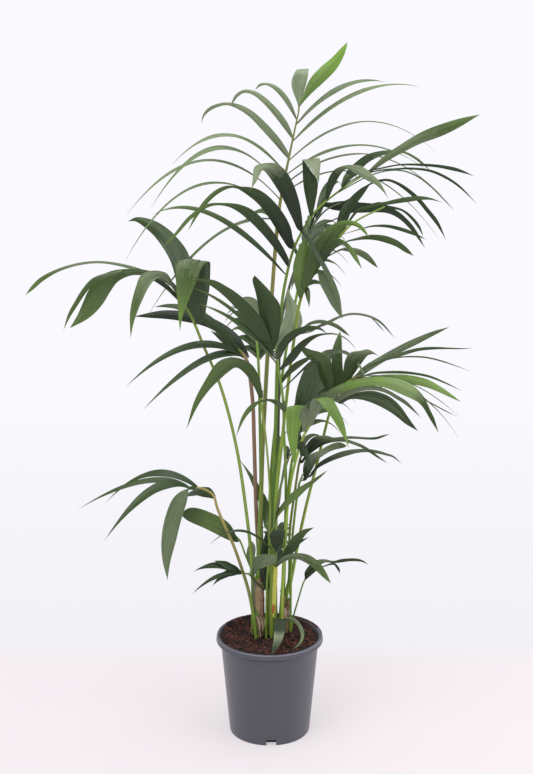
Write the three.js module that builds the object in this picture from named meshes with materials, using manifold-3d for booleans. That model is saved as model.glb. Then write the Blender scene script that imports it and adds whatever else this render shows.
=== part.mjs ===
// Potted kentia palm: several seedlings in one clump, in a plain nursery pot.
// Millimetres, +Z up, the origin at the centre of the pot's flat underside. The front is -Y.
import * as THREE from "three";
import { mergeVertices } from "three/addons/utils/BufferGeometryUtils.js";
import Module from "manifold-3d";

const wasm = await Module();
wasm.setup();

// Nursery pot: a thin tapered tub with a rolled rim and drain notches round its foot.
const POT = {
  height: 230,
  rimRadius: 120,
  rimHeight: 13,
  rimLip: 1.5,
  neckRadius: 110,
  footRadius: 90.5,
  wall: 2.4,
  floor: 3,
  sides: 40,
  notches: 4,
  firstNotch: -87.7,
  notchWidth: 22,
  notchHeight: 14,
};
// Potting mix, heaped a little towards the stems.
const SOIL = { edge: 219, crown: 222, gap: 0.4, flatRadius: 70, sides: 36 };
const SEAT = 0.3;

// Where a leaflet's outline is sampled along its length. A broad one has a finer outline.
const BROAD = 24;
const BROAD_STATIONS = [0, 0.12, 0.34, 0.6, 0.82];
const NARROW_STATIONS = [0, 0.16, 0.42, 0.72];
const WIDEST_AT = 0.36;
const ROOT_WIDTH = 0.42;
const LEAF_THICKNESS = 0.011;
const THINNEST_LEAF = 1.3;
const STALK_SIDES = 8;
const RIB_SIDES = 6;
const STALK_STEP = 105;
const RIB_STEP = 30;
const SUNK = 12;
const TOLERANCE = 0.02;

// Short stems wrapped in their old sheaths. Each is its foot, its top and the radii there.
const STEMS = {
  left_stem: { foot: [-24, 5], top: [-24, 8, 350], radii: [10.5, 8.6], color: 0x9c8a63 },
  middle_stem: { foot: [8, 18], top: [9, 22, 405], radii: [9, 8.2], color: 0x9aa03c },
  right_stem: { foot: [34, 26], top: [36, 30, 310], radii: [8.5, 7.6], color: 0xb39a7c },
};

// Each frond has a stalk from the soil or a stem's top, a rib, and leaflets on the rib. A leaflet is
// [place along the rib, reach right, reach back, rise, arch, width, crest, bow]: its tip's place from its
// root, how far its middle arches over the chord, its full width, where along the chord the arch
// stands, and how far it bows sideways. A frond's turn is how far its leaflets are rolled to face the
// front, in degrees, and a ninth value is a leaflet's own turn.
const FRONDS = {
  crown: {
    stalk: [[-27, 5, 350], [-21, 12, 496], [-15, 25, 676], [-9, 35, 787], [-4, 42, 874], [5, 50, 1000], [15, 58, 1130]],
    rib: [[15, 58, 1130], [23, 60, 1198], [40, 58, 1286], [61, 45, 1389]],
    radii: [5.4, 4.1, 1.4],
    turn: 42,
    leaflets: [
      [0.9, -86, -50, 68, 37, 22],
      [0.77, -126, -75, 70, 55, 24, 0.6],
      [0.61, -180, -90, 80, 68, 26, 0.6],
      [0.48, -235, -80, 26, 72, 22],
      [0.34, -270, -130, -22, 108, 22],
      [0.26, -320, -90, -20, 100, 22],
      [0.15, -316, -150, -78, 112, 14, 0.55],
      [0.1, -282, -60, -205, 68, 16],
      [1, 98, 20, 133, 4, 34],
      [0.97, 4, 80, 52, 44, 30],
      [0.88, 190, 70, 82, 34, 16],
      [0.74, 272, 60, 108, 45, 14],
      [0.58, 322, 110, 8, 74, 16],
      [0.46, 305, 60, 4, 60, 16],
      [0.38, 352, 130, -40, 80, 16],
      [0.3, 354, 150, -118, 96, 14],
    ],
  },
  left: {
    stalk: [[-38, 14, 222], [-39, 0, 382], [-52, -5, 525], [-73, -15, 676], [-106, -28, 814], [-141, -40, 905], [-157, -45, 949]],
    rib: [[-157, -45, 949], [-171, -50, 981], [-187, -55, 1002]],
    radii: [4, 3, 1.8],
    turn: 40,
    leaflets: [
      [0.9, -330, 110, 4, 80, 16],
      [1, -224, -60, -44, 84, 28],
      [0.94, -240, -100, -33, 80, 14],
      [0.97, -102, -110, -58, 102, 22],
      [0.1, -146, 120, 186, 108, 38, 0],
      [0.05, -32, -150, 8, 138, 42, 0.05],
    ],
  },
  upper_right: {
    stalk: [[5, 26, 405], [6, 38, 470], [9, 40, 541], [13, 20, 728], [17, -12, 888], [24, -25, 977], [30, -30, 1025]],
    rib: [[30, -30, 1025], [48, -42, 1105], [69, -52, 1152], [95, -62, 1192], [143, -75, 1235], [195, -88, 1271]],
    radii: [4.2, 3.2, 1.6],
    turn: 45,
    leaflets: [
      [0.28, -220, -70, 50, 114, 30],
      [0.15, -256, -110, 60, 115, 28, 0.55],
      [0.09, -276, -30, 130, 58, 14, 0.6],
      [0.42, -111, -120, 98, 88, 34, 0.28],
      [0.53, 15, -120, 86, 76, 30],
      [0.68, 128, -90, 10, 67, 26, 0.35],
      [0.81, 35, 30, 16, 20, 16],
      [1, 236, -30, 120, 17, 24],
      [0.85, 170, 70, 18, 52, 22],
      [0.98, 258, 20, -28, 31, 18, 0.6],
      [0.8, 278, -100, -18, 61, 18],
      [0.83, 208, -140, -88, 72, 20, 0.45],
    ],
  },
  shaded_right: {
    stalk: [[6, 42, 222], [16, 45, 532], [20, 38, 763], [24, 30, 933], [43, 28, 1020]],
    rib: [[43, 28, 1020], [62, 24, 1080], [79, 20, 1128], [116, 14, 1181], [147, 10, 1197]],
    radii: [3.8, 3, 1.6],
    turn: 30,
    leaflets: [
      [0.87, 208, 40, -88, 50, 24, 0.6],
      [0.97, 192, 90, -22, 53, 18],
      [0.53, 80, -90, -154, 18, 12],
      [0.7, 60, 110, 60, 40, 26],
      [0.3, -120, 10, 70, 60, 26],
    ],
  },
  right_arch: {
    stalk: [[12, 18, 405], [14, 15, 542], [29, -12, 709], [39, -28, 814], [51, -42, 916], [65, -55, 1009]],
    rib: [[65, -55, 1009], [89, -65, 1065], [127, -76, 1118], [167, -88, 1168], [232, -100, 1205]],
    radii: [4.2, 3.2, 1.6],
    turn: 45,
    leaflets: [
      [0.03, -4, -60, 142, 0, 34],
      [0.11, 112, -130, 58, 83, 34, 0.05],
      [0.3, 108, 60, 48, 70, 20, 0.1],
      [0.55, 70, 40, 115, 47, 26, 0],
      [0.73, 192, 10, 40, 28, 20, 0.55],
      [0.63, 171, -40, -8, 22, 18],
      [0.52, 160, -110, -6, 28, 22],
      [0.36, 118, -120, 10, 32, 20],
      [0.27, 54, -120, -90, 24, 30],
      [0.1, 8, -20, -42, 6, 14],
      [1, 123, -20, -70, 25, 16],
    ],
  },
  middle_left: {
    stalk: [[-20, 12, 350], [-29, 22, 493], [-34, 6, 681], [-37, -8, 775], [-48, -22, 863]],
    rib: [[-48, -22, 863], [-56, -27, 880], [-66, -32, 893]],
    radii: [4.4, 4.2, 2.2],
    turn: 40,
    leaflets: [
      [0.95, -226, 100, 64, 41, 38],
      [0.9, -182, 50, 84, 35, 24],
      [0.3, -76, 40, 50, 5, 20],
      [0.5, -241, -110, -41, 52, 18, 0.45],
      [0.4, -212, -100, -93, 41, 18, 0.35],
    ],
  },
  bent_leaf: {
    stalk: [[-2, 6, 222], [-1, 5, 308], [0, -5, 455], [1, -15, 552], [-8, -35, 693], [-18, -50, 782]],
    rib: [[-18, -50, 782], [-17, -53, 796], [-16, -55, 809]],
    radii: [2.6, 2.2, 1.6],
    turn: 45,
    leaflets: [
      [1, -163, -90, -68, 96, 32, 0.4],
    ],
  },
  centre: {
    stalk: [[20, 6, 222], [32, 8, 402], [35, -25, 601], [30, -50, 719], [28, -65, 790]],
    rib: [[28, -65, 790], [19, -80, 859], [6, -95, 927], [-4, -103, 943]],
    radii: [3.6, 2.8, 1.6],
    turn: 45,
    leaflets: [
      [0.76, -43, -40, 160, 0, 50, 0.5, 0, -49],
      [0.87, -166, -50, 140, 34, 30, 0.36],
      [0.65, -168, -40, 150, 22, 14],
      [0.6, -158, -60, 128, 20, 14],
      [0.63, 106, -50, 52, 38, 24, 0.2],
      [0.42, 160, -60, 61, 55, 22, 0.28],
      [0.2, 98, -40, 53, 20, 16],
      [0.8, 162, 30, 12, 41, 20],
      [0.9, 260, 40, -13, 46, 16, 0.6],
      [0.15, 63, -30, -30, 68, 44, 0.7],
      [0.02, -99, -20, -82, 41, 12],
    ],
  },
  right_fan: {
    stalk: [[39, 31, 310], [46, 40, 330], [61, 42, 414], [80, 28, 518], [105, 8, 634], [129, -12, 749]],
    rib: [[129, -12, 749], [139, -18, 783], [156, -28, 815], [190, -42, 838]],
    radii: [3.8, 3, 1.8],
    turn: 42,
    leaflets: [
      [0.5, 6, 80, 116, 0, 24],
      [0.2, -72, -70, 142, 36, 40, 0.26],
      [0.66, 82, -20, 62, 43, 32, 0.06],
      [0.68, 226, 90, 100, 14, 22],
      [0.75, 264, 40, 65, 23, 18],
      [0.92, 238, 10, 13, 36, 16],
      [0.77, 163, -120, -28, 38, 32],
      [1, 209, -50, -42, 24, 16],
      [1, 213, -20, -28, 21, 12],
      [0.45, 165, -40, -68, 36, 30],
      [0.22, 201, -100, -46, 60, 18],
      [0.3, 148, -70, 5, 35, 16],
      [0.8, 186, -60, -96, 40, 16, 0.6],
      [0.9, 211, -90, -104, 45, 12, 0.6],
      [0.97, 200, -110, -56, 30, 10],
      [0.4, 70, -40, 28, 70, 14, 0],
    ],
  },
  bright_front: {
    stalk: [[26, -6, 222], [30, -10, 386], [38, -22, 531], [50, -33, 621], [71, -46, 703], [79, -50, 720]],
    rib: [[79, -50, 720], [82, -52, 728], [85, -55, 736]],
    radii: [3.6, 2.8, 1.8],
    turn: 30,
    leaflets: [
      [0.2, -28, -120, -50, 82, 30],
      [1, 82, -110, -24, 81, 30],
    ],
  },
  low_right: {
    stalk: [[31, 27, 310], [42, 26, 340], [45, 22, 469], [56, 14, 565], [66, 5, 637]],
    rib: [[66, 5, 637], [71, 3, 652], [76, 0, 666]],
    radii: [3.3, 2.6, 1.6],
    turn: 40,
    leaflets: [
      [0.2, 71, 20, 40, 27, 26, 0],
      [0.5, 186, -80, 70, 22, 20],
      [1, 175, -100, 0, 37, 18],
      [0.4, -40, 60, 20, 40, 20],
    ],
  },
  low_right_twin: {
    stalk: [[47, 20, 222], [48, 14, 390], [52, -2, 480], [64, -12, 585]],
    rib: [[64, -12, 585], [68, -16, 600], [72, -20, 612]],
    radii: [3, 2.5, 1.6],
    turn: 40,
    leaflets: [
      [0.3, 92, -70, 97, 45, 24, 0.15],
      [0.8, 175, -40, 20, 48, 18],
      [0.5, 50, 70, 50, 20, 18],
    ],
  },
  olive: {
    stalk: [[4, -6, 222], [4, -9, 400], [8, -12, 468], [14, -13, 533], [25, -14, 587], [36, -16, 632]],
    rib: [[36, -16, 632], [40, -17, 644], [44, -18, 656]],
    radii: [3.2, 2.6, 1.6],
    turn: 40,
    leaflets: [
      [0.5, 2, 60, -20, 30, 18],
      [0.9, 45, -80, -20, 45, 20],
    ],
  },
  low_left: {
    stalk: [[-30, -10.5, 222], [-36, -11, 276], [-47, -14, 339], [-62, -19, 394], [-80, -25, 451], [-97, -30, 494], [-114, -36, 540]],
    rib: [[-114, -36, 540], [-123, -40, 571], [-150, -48, 590], [-171, -54, 591]],
    radii: [4.2, 3, 1.8],
    turn: 40,
    leaflets: [
      [0.8, -210, 70, -60, 52, 18],
      [0.98, -248, 20, -55, 37, 14, 0.35],
      [0.96, -180, -110, -80, 50, 22, 0.4],
      [0.95, -47, -90, -180, 97, 34, 1],
      [0.3, -78, 80, -34, 20, 28],
    ],
  },
  entire_leaf: {
    stalk: [[-30, 13, 350], [-44, 11, 388], [-56, 6, 421], [-66, 2, 451]],
    rib: [[-66, 2, 451], [-79, 0, 466], [-92, -2, 478]],
    radii: [2.2, 2, 1.4],
    turn: 60,
    leaflets: [
      [0.1, -132, -20, 68, 15, 44],
      [0.6, -100, -30, 25, 14, 32],
    ],
  },
  low_dark: {
    stalk: [[-19, 0, 350], [-28, -5, 362], [-38, -9, 372]],
    rib: [[-38, -9, 372], [-52, -26, 384], [-62, -44, 392]],
    radii: [2.4, 2.2, 1.4],
    turn: 40,
    leaflets: [
      [1, -64, -20, -22, 15, 18],
      [0.9, -62, -15, 35, 5, 20],
      [0.8, -108, -30, 16, 18, 18],
      [0.95, -108, -60, -26, 18, 10],
      [0.4, 58, -20, 38, 38, 24, 0],
    ],
  },
  low_middle: {
    stalk: [[13, -16, 222], [13, -20, 310], [12, -24, 396]],
    rib: [[12, -24, 396], [12, -25, 414], [12, -26, 432]],
    radii: [2.6, 2.3, 1.6],
    turn: 40,
    leaflets: [
      [1, -145, -20, 26, 44, 10],
      [0.9, 13, -20, -5, 46, 28],
      [0.05, 123, -30, -31, 47, 20],
      [0.2, 84, -30, 88, 5, 16],
      [0.3, 75, -10, 66, 8, 12],
    ],
  },
  slanting: {
    stalk: [[-8, -12, 222], [-6, -16, 360], [4, -24, 480]],
    rib: [[4, -24, 480], [8, -25, 490], [12, -26, 500]],
    radii: [2.4, 2, 1.4],
    turn: 45,
    leaflets: [
      [0.9, 113, -40, 128, 0, 20],
      [0.4, 30, -40, 205, 4, 26],
    ],
  },
  lowest_right: {
    stalk: [[50, 38, 222], [53, 34, 252], [64, 28, 298], [75, 22, 341]],
    rib: [[75, 22, 341], [80, 20, 353], [84, 18, 365]],
    radii: [2, 1.8, 1.3],
    turn: 40,
    leaflets: [
      [0.6, 56, -20, 33, 22, 16, 0],
      [1, 136, -10, 21, 19, 14],
      [1, 73, -30, -2, 20, 12],
    ],
  },
  soil_leaf: {
    stalk: [[24, -16, 222], [25, -17, 240], [26, -18, 252]],
    rib: [[26, -18, 252], [27, -19, 258], [28, -20, 263]],
    radii: [2.2, 2, 1.5],
    turn: 0,
    leaflets: [
      [0.6, -25, -70, -25, 28, 28],
      [0.8, 18, -52, -28, 14, 12, 0.5, 26],
    ],
  },
};

// The fronds behind are hidden from the front, so their leaflets follow a plain rule: how long they are
// at the ends and in the middle, how far they sweep on and gain on it, and their rise, droop and arch.
const FEATHER = { ends: 0.75, swell: 0.35, sweep: 2, sweepGain: 1.3, slip: 0.06, rise: 0.1, droop: 0.35, arch: 0.24 };
const BACK_FRONDS = {
  back_left: {
    stalk: [[-14, 36, 222], [-19, 48, 520], [-22, 66, 725], [-25, 95, 835]],
    rib: [[-25, 95, 835], [-31, 140, 888], [-38, 195, 912]],
    radii: [3.8, 3, 1.6],
    turn: 20,
    pairs: 4,
    reach: 146,
    width: 24,
  },
  back_right: {
    stalk: [[30, 52, 222], [36, 66, 430], [46, 84, 580], [62, 108, 662]],
    rib: [[62, 108, 662], [82, 158, 722], [104, 218, 746]],
    radii: [3.8, 3, 1.6],
    turn: 20,
    pairs: 4,
    reach: 175,
    width: 24,
  },
  back_low: {
    stalk: [[6, 64, 222], [8, 76, 300], [12, 96, 360]],
    rib: [[12, 96, 360], [14, 130, 384], [16, 175, 392]],
    radii: [2.6, 2.2, 1.4],
    turn: 20,
    pairs: 3,
    reach: 110,
    width: 18,
  },
  back_upper: {
    stalk: [[-4, 44, 222], [4, 66, 600], [34, 84, 850], [60, 110, 985]],
    rib: [[60, 110, 985], [78, 150, 1060], [94, 205, 1105]],
    radii: [3.8, 3, 1.6],
    turn: 20,
    pairs: 4,
    reach: 150,
    width: 22,
  },
};

const vector = (p) => new THREE.Vector3(...p);
const UP = new THREE.Vector3(0, 0, 1);

// Joins rings of equal length into one closed surface. A last ring of one point closes it in a tip.
function loft(rings) {
  const sides = rings[0].length;
  const positions = rings.flat().flatMap((p) => [p.x, p.y, p.z]);
  const index = [];
  const quad = (a, b, c, d) => index.push(a, b, c, a, c, d);
  for (let i = 2; i < sides; i++) index.push(0, i, i - 1);
  for (let r = 0; r + 1 < rings.length; r++) {
    for (let i = 0; i < sides; i++) {
      const next = (i + 1) % sides;
      const low = r * sides;
      if (rings[r + 1].length === 1) index.push(low + i, low + next, low + sides);
      else quad(low + i, low + next, low + sides + next, low + sides + i);
    }
  }
  const last = rings[rings.length - 1];
  const start = positions.length / 3 - last.length;
  for (let i = 2; i < last.length; i++) index.push(start, start + i - 1, start + i);
  return new THREE.BufferGeometry()
    .setAttribute("position", new THREE.Float32BufferAttribute(positions, 3))
    .setIndex(index);
}

// A closed geometry as a solid for joins and cuts, turned to face outwards where it doesn't.
function solid(geometry) {
  const bare = geometry.clone();
  bare.deleteAttribute("normal");
  bare.deleteAttribute("uv");
  const merged = mergeVertices(bare, 1e-4);
  const triVerts = new Uint32Array(merged.index.array);
  const build = () =>
    new wasm.Manifold(new wasm.Mesh({ numProp: 3, vertProperties: merged.attributes.position.array, triVerts }));
  const made = build();
  if (made.volume() > 0) return made;
  for (let i = 0; i < triVerts.length; i += 3) {
    [triVerts[i + 1], triVerts[i + 2]] = [triVerts[i + 2], triVerts[i + 1]];
  }
  return build();
}

function meshOf(name, made, color, roughness = 0.6) {
  const { vertProperties, triVerts, numProp } = made.getMesh();
  const positions = [];
  for (let i = 0; i < vertProperties.length; i += numProp) positions.push(...vertProperties.slice(i, i + 3));
  const geometry = new THREE.BufferGeometry()
    .setAttribute("position", new THREE.Float32BufferAttribute(positions, 3))
    .setIndex([...triVerts]);
  geometry.computeVertexNormals();
  const mesh = new THREE.Mesh(geometry, new THREE.MeshStandardMaterial({ color, roughness, metalness: 0 }));
  mesh.name = name;
  return mesh;
}

// A round limb along a stretch of a curve, from one radius to another, with ends square to the curve.
function limb(curve, from, to, radii, sides, step) {
  const steps = Math.max(2, Math.round((curve.getLength() * (to - from)) / step));
  const rings = [];
  for (let i = 0; i <= steps; i++) {
    const share = from + ((to - from) * i) / steps;
    const at = curve.getPointAt(share);
    const along = curve.getTangentAt(share);
    const right = new THREE.Vector3(0, 1, 0).cross(along).normalize();
    const front = new THREE.Vector3().crossVectors(along, right);
    const radius = radii[0] + ((radii[1] - radii[0]) * i) / steps;
    const ring = [];
    for (let k = 0; k < sides; k++) {
      const angle = (2 * Math.PI * k) / sides;
      const across = right.clone().multiplyScalar(radius * Math.cos(angle));
      ring.push(at.clone().add(across).addScaledVector(front, radius * Math.sin(angle)));
    }
    rings.push(ring);
  }
  return solid(loft(rings));
}

// A curve through points that starts a little below its foot, where it is then cut level.
function curveFrom(points) {
  const foot = vector(points[0]);
  const below = vector(points[1]).sub(foot).setLength(-SUNK).add(foot);
  return new THREE.CatmullRomCurve3([below, ...points.map(vector)], false, "centripetal");
}

// How far along a curve, as a share of its length, the point with this number lies.
function shareOf(curve, number) {
  const divisions = 100 * (curve.points.length - 1);
  const lengths = curve.getLengths(divisions);
  return lengths[100 * number] / lengths[divisions];
}

// A leaflet's width at a share of its length, as a share of the widest: narrow root, long point.
function outline(share) {
  if (share < WIDEST_AT) return ROOT_WIDTH + (1 - ROOT_WIDTH) * Math.sin((Math.PI / 2) * (share / WIDEST_AT));
  return Math.cos((Math.PI / 2) * ((share - WIDEST_AT) / (1 - WIDEST_AT))) ** 0.8;
}

// A thin pointed blade from its root on the rib, arched in an upright plane. grow thickens it all round.
function leaflet(root, row, turn, grow = 0) {
  const [, right, back, rise, arch, width, crest = 0.5, bow = 0, ownTurn = turn] = row;
  const reach = new THREE.Vector3(right, back, rise);
  const heading = new THREE.Vector3(right, back, 0);
  const side = heading.cross(UP).normalize();
  const control = root
    .clone()
    .addScaledVector(reach, crest)
    .addScaledVector(UP, 2 * arch)
    .addScaledVector(side, 2 * bow);
  const curve = new THREE.QuadraticBezierCurve3(root, control, root.clone().add(reach));
  const thickness = Math.max(THINNEST_LEAF, LEAF_THICKNESS * curve.getLength()) + grow;
  const tilt = THREE.MathUtils.degToRad(right < 0 ? ownTurn : -ownTurn);
  const stations = width < BROAD ? NARROW_STATIONS : BROAD_STATIONS;
  const rings = stations.map((share) => {
    const at = curve.getPoint(share);
    const along = curve.getTangent(share);
    const over = new THREE.Vector3().crossVectors(side, along).normalize();
    const across = side.clone().multiplyScalar(Math.cos(tilt)).addScaledVector(over, Math.sin(tilt));
    const face = new THREE.Vector3().crossVectors(along, across).normalize();
    const halfWidth = (width * outline(share) + grow) / 2;
    return [
      at.clone().addScaledVector(across, halfWidth),
      at.clone().addScaledVector(face, thickness / 2),
      at.clone().addScaledVector(across, -halfWidth),
      at.clone().addScaledVector(face, -thickness / 2),
    ];
  });
  rings.push([curve.getPoint(1)]);
  return solid(loft(rings));
}

// Pairs of leaflets along a rib, longest in its middle, with one pair at the tip that heads on.
function feather({ rib, pairs, reach, width }) {
  const f = FEATHER;
  const from = vector(rib[0]);
  const to = vector(rib[rib.length - 1]);
  const forward = to.clone().sub(from).setZ(0).normalize();
  const sideways = new THREE.Vector3(forward.y, -forward.x, 0);
  const rows = [];
  for (let i = 0; i < pairs; i++) {
    const place = (i + 0.6) / pairs;
    const length = reach * (f.ends + f.swell * Math.sin(Math.PI * place));
    const ahead = f.sweep + f.sweepGain * place;
    const rise = length * (f.rise - f.droop * (1 - place));
    for (const hand of [-1, 1]) {
      const tip = sideways.clone().multiplyScalar(hand).addScaledVector(forward, ahead).setLength(length);
      const slip = hand > 0 ? f.slip : 0;
      rows.push([place - slip, tip.x, tip.y, rise, f.arch * length, width]);
    }
  }
  return rows;
}

function buildPot() {
  const p = POT;
  const inner = p.neckRadius - p.wall;
  const innerFoot = p.footRadius - p.wall;
  const rimFoot = p.height - p.rimHeight;
  const profile = [
    [0, 0],
    [p.footRadius - 2, 0],
    [p.footRadius, 2],
    [p.neckRadius, rimFoot - 1.5],
    [p.neckRadius + p.rimLip, rimFoot],
    [p.rimRadius - 1, rimFoot + 1],
    [p.rimRadius, p.height - 3],
    [p.rimRadius - 2, p.height],
    [p.rimRadius - 7, p.height],
    [inner + 2, p.height - 4],
    [inner, rimFoot],
    [innerFoot, p.floor],
    [0, p.floor],
  ].map(([x, y]) => new THREE.Vector2(x, y));
  const tub = new THREE.LatheGeometry(profile, p.sides).rotateX(Math.PI / 2);
  let made = solid(tub);
  for (let i = 0; i < p.notches; i++) {
    const angle = ((p.firstNotch + (360 * i) / p.notches) * Math.PI) / 180;
    const notch = new THREE.BoxGeometry(4 * p.wall, p.notchWidth, 2 * p.notchHeight)
      .translate(p.footRadius, 0, 0)
      .rotateZ(angle);
    made = made.subtract(solid(notch));
  }
  return made;
}

function buildSoil() {
  const { edge, crown, gap, flatRadius, sides } = SOIL;
  const wallAt = (z) => {
    const rise = (z - POT.floor) / (POT.height - POT.rimHeight - POT.floor);
    return POT.footRadius - POT.wall + (POT.neckRadius - POT.footRadius) * Math.min(1, rise) - gap - 0.6;
  };
  const bottom = POT.floor + gap;
  const profile = [
    [0, bottom],
    [wallAt(bottom), bottom],
    [wallAt(edge), edge - 4],
    [wallAt(edge) - 3, edge],
    [flatRadius, crown - SEAT],
    [0, crown - SEAT],
  ].map(([x, y]) => new THREE.Vector2(x, y));
  return solid(new THREE.LatheGeometry(profile, sides).rotateX(Math.PI / 2));
}

// A frond's one curve, and the share of it where the stalk ends and the blade starts.
function frondCurve({ stalk, rib }) {
  const curve = curveFrom([...stalk, ...rib.slice(1)]);
  return { curve, split: shareOf(curve, stalk.length) };
}

function buildStalk(frond) {
  const { curve, split } = frondCurve(frond);
  const end = split - SEAT / 2 / curve.getLength();
  return limb(curve, 0, end, frond.radii, STALK_SIDES, STALK_STEP).trimByPlane([0, 0, 1], frond.stalk[0][2]);
}

function touches(a, b) {
  const p = a.boundingBox();
  const q = b.boundingBox();
  for (let k = 0; k < 3; k++) if (p.max[k] < q.min[k] || q.max[k] < p.min[k]) return false;
  return !a.intersect(b).isEmpty();
}

// The blade of a frond: its rib with every leaflet that keeps clear of the limbs and the other blades.
function buildBlade(frond, others) {
  const { curve, split } = frondCurve(frond);
  const start = split + SEAT / 2 / curve.getLength();
  let blade = limb(curve, start, 1, frond.radii.slice(1), RIB_SIDES, RIB_STEP);
  for (const row of frond.leaflets ?? feather(frond)) {
    const place = Math.min(0.98, Math.max(0.03, row[0]));
    const root = curve.getPointAt(start + (1 - start) * place);
    const wide = leaflet(root, row, frond.turn, 2 * SEAT);
    if (others.some((made) => touches(wide, made))) continue;
    blade = blade.add(leaflet(root, row, frond.turn));
  }
  return blade.asOriginal().simplify(TOLERANCE);
}

const palm = new THREE.Group();
const pot = buildPot();
const soil = buildSoil();
palm.add(meshOf("pot", pot, 0x5a5b61, 0.55));
palm.add(meshOf("soil", soil, 0x3b2620, 0.95));

const solids = [pot, soil];
for (const [name, { foot, top, radii, color }] of Object.entries(STEMS)) {
  const middle = [foot[0], foot[1], (SOIL.crown + top[2]) / 2];
  const beyond = [top[0], top[1], top[2] + SUNK];
  const made = limb(curveFrom([[...foot, SOIL.crown], middle, beyond]), 0, 1, radii, STALK_SIDES, STALK_STEP)
    .trimByPlane([0, 0, 1], SOIL.crown)
    .trimByPlane([0, 0, -1], SEAT - top[2]);
  solids.push(made);
  palm.add(meshOf(name, made, color, 0.8));
}
const fronds = Object.entries({ ...FRONDS, ...BACK_FRONDS });
for (const [name, frond] of fronds) {
  const made = buildStalk(frond);
  solids.push(made);
  palm.add(meshOf(name + "_stalk", made, 0x8a9c45));
}
for (const [name, frond] of fronds) {
  const made = buildBlade(frond, solids);
  solids.push(made);
  palm.add(meshOf(name + "_frond", made, 0x3f5c34, 0.45));
}

export default palm;
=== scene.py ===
import math

import bpy
import numpy as np
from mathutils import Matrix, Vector


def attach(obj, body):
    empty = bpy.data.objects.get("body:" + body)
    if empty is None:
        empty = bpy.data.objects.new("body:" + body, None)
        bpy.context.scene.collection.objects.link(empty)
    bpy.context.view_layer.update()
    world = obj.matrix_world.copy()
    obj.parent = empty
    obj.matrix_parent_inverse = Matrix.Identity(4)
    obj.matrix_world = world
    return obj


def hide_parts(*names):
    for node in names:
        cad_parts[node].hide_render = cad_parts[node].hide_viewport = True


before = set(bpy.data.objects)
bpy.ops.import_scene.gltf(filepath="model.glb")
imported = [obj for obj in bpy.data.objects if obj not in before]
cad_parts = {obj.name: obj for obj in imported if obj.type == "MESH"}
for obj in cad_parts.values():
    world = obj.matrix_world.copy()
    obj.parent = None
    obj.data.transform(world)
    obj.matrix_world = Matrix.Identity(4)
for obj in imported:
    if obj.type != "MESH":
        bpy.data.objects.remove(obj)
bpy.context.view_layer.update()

MM = 0.001
SEED = 17
BODY = "root"

# The pot and its filling, as the solids have them, but for a raised base inside the foot.
POT = {
    "height": 230, "rim_radius": 120, "rim_height": 13, "neck_radius": 110, "foot_radius": 90.5,
    "wall": 2.4, "floor": 16, "notches": 4, "first_notch": -87.7, "notch_width": 22, "notch_height": 14,
    "base": 2.5,
}
POT_SIDES = 144
POT_COLOR = (0.068, 0.070, 0.088)
# How far a notch's tool reaches in and out from the foot's radius, and the near-black painted shade that the
# faces cut inside a notch take.
NOTCH_DEPTHS = (-12, 6)
NOTCH_SHADE = (0.0024, 0.0014, 0.0014)
# Painted light round the wall: a dark line just under the rim is a painted shadow of its overhang, and a
# bright line on the rim's roll is a painted highlight. Each is a brightness against the plain plastic and
# heights from the rim's underside.
RIM_SHADOW_AND_HIGHLIGHT = ((0.3, -6.5, -2.5), (2.3, 9.8, 12))
# The filling's surface rises over "slope" from its flat middle to its edge, which stands at "edge" plus
# "rise", leans by "lean" towards one turn and falls away by "dip" round another. It is drawn in rings, and
# bulges a little over the pot's rim.
SOIL = {
    "edge": 219, "crown": 222, "flat_radius": 70, "gap": 1, "slope": 38, "rise": 8, "lean": 3.5,
    "lean_turn": 2.1, "dip": 6.5, "dip_turn": 0.3, "dip_width": 0.45, "rings": 70, "sides": 180,
    "grain": 0.9, "bulge": 0.0038, "bulge_from": 80,
}

# Leaflets: the width from which one is broad, and how many faces it has along and across. Leaflets drawn
# over the photograph have more rows.
BROAD = 24
BROAD_CUTS = (44, 14)
NARROW_CUTS = (36, 8)
DRAWN_CUTS = 12
# Where a leaflet is widest, its root's share of that width, and its thickness with what its midrib adds.
WIDEST_AT = 0.36
ROOT_WIDTH = 0.2
BLADE_THICKNESS = 0.8
MIDRIB = 0.5
# The fold at a leaflet's root with its reach, how round the fold is, and pleats and waves by its width.
ROOT_FOLD = 0.9
ROOT_FOLD_REACH = 0.05
KEEL = 0.02
PLEAT = 0.011
WAVE = 0.04
# How much tones differ from strip to strip and from leaflet to leaflet, and how much the painted sheen
# differs from strip to strip.
STREAK = 0.24
CHANCE = 0.25
SHEEN_SPREAD = 0.09
# For leaflets by the source's rule and for drawn ones: the fold in the middle and its gain to the tip, and
# the chance of a dry tip with the share of the length that it takes.
RULED = {"fold": (0.24, 0.15), "dry": (0.3, 0.05)}
TRACED = {"fold": (0.16, 0.1), "dry": (0.25, 0.03)}
SWAY = (4, 9)

# Faces round and along limbs and sheaths. A stalk is sunk into the soil by SUNK, and the first leaflet's
# root is half of SEAT along the rib.
RIB_SIDES = 12
STALK_SIDES = 16
STEM_SIDES = 20
SHEATH_CUTS = (36, 10)
SUNK = 12
SEAT = 0.3
PLAIN_TONES = (2, 2, 2)
PLAIN_TURN = 40

RIM_CRUMBS = {"count": 900, "turns": (0.3, 2.6), "sizes": (0.5, 1.7), "tones": (1, 4)}
LOOSE_FIBRES = {"count": 420, "lengths": (5, 20), "bend": 0.5, "radii": (0.2, 0.45), "tones": (2, 5)}
CHIP_TILT = 0.4
BOX_CORNERS = np.array([(i, j, k) for i in (-1, 1) for j in (-1, 1) for k in (-1, 1)], float)
BOX_FACES = [(0, 1, 3, 2), (4, 6, 7, 5), (0, 4, 5, 1), (2, 3, 7, 6), (0, 2, 6, 4), (1, 5, 7, 3)]
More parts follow.
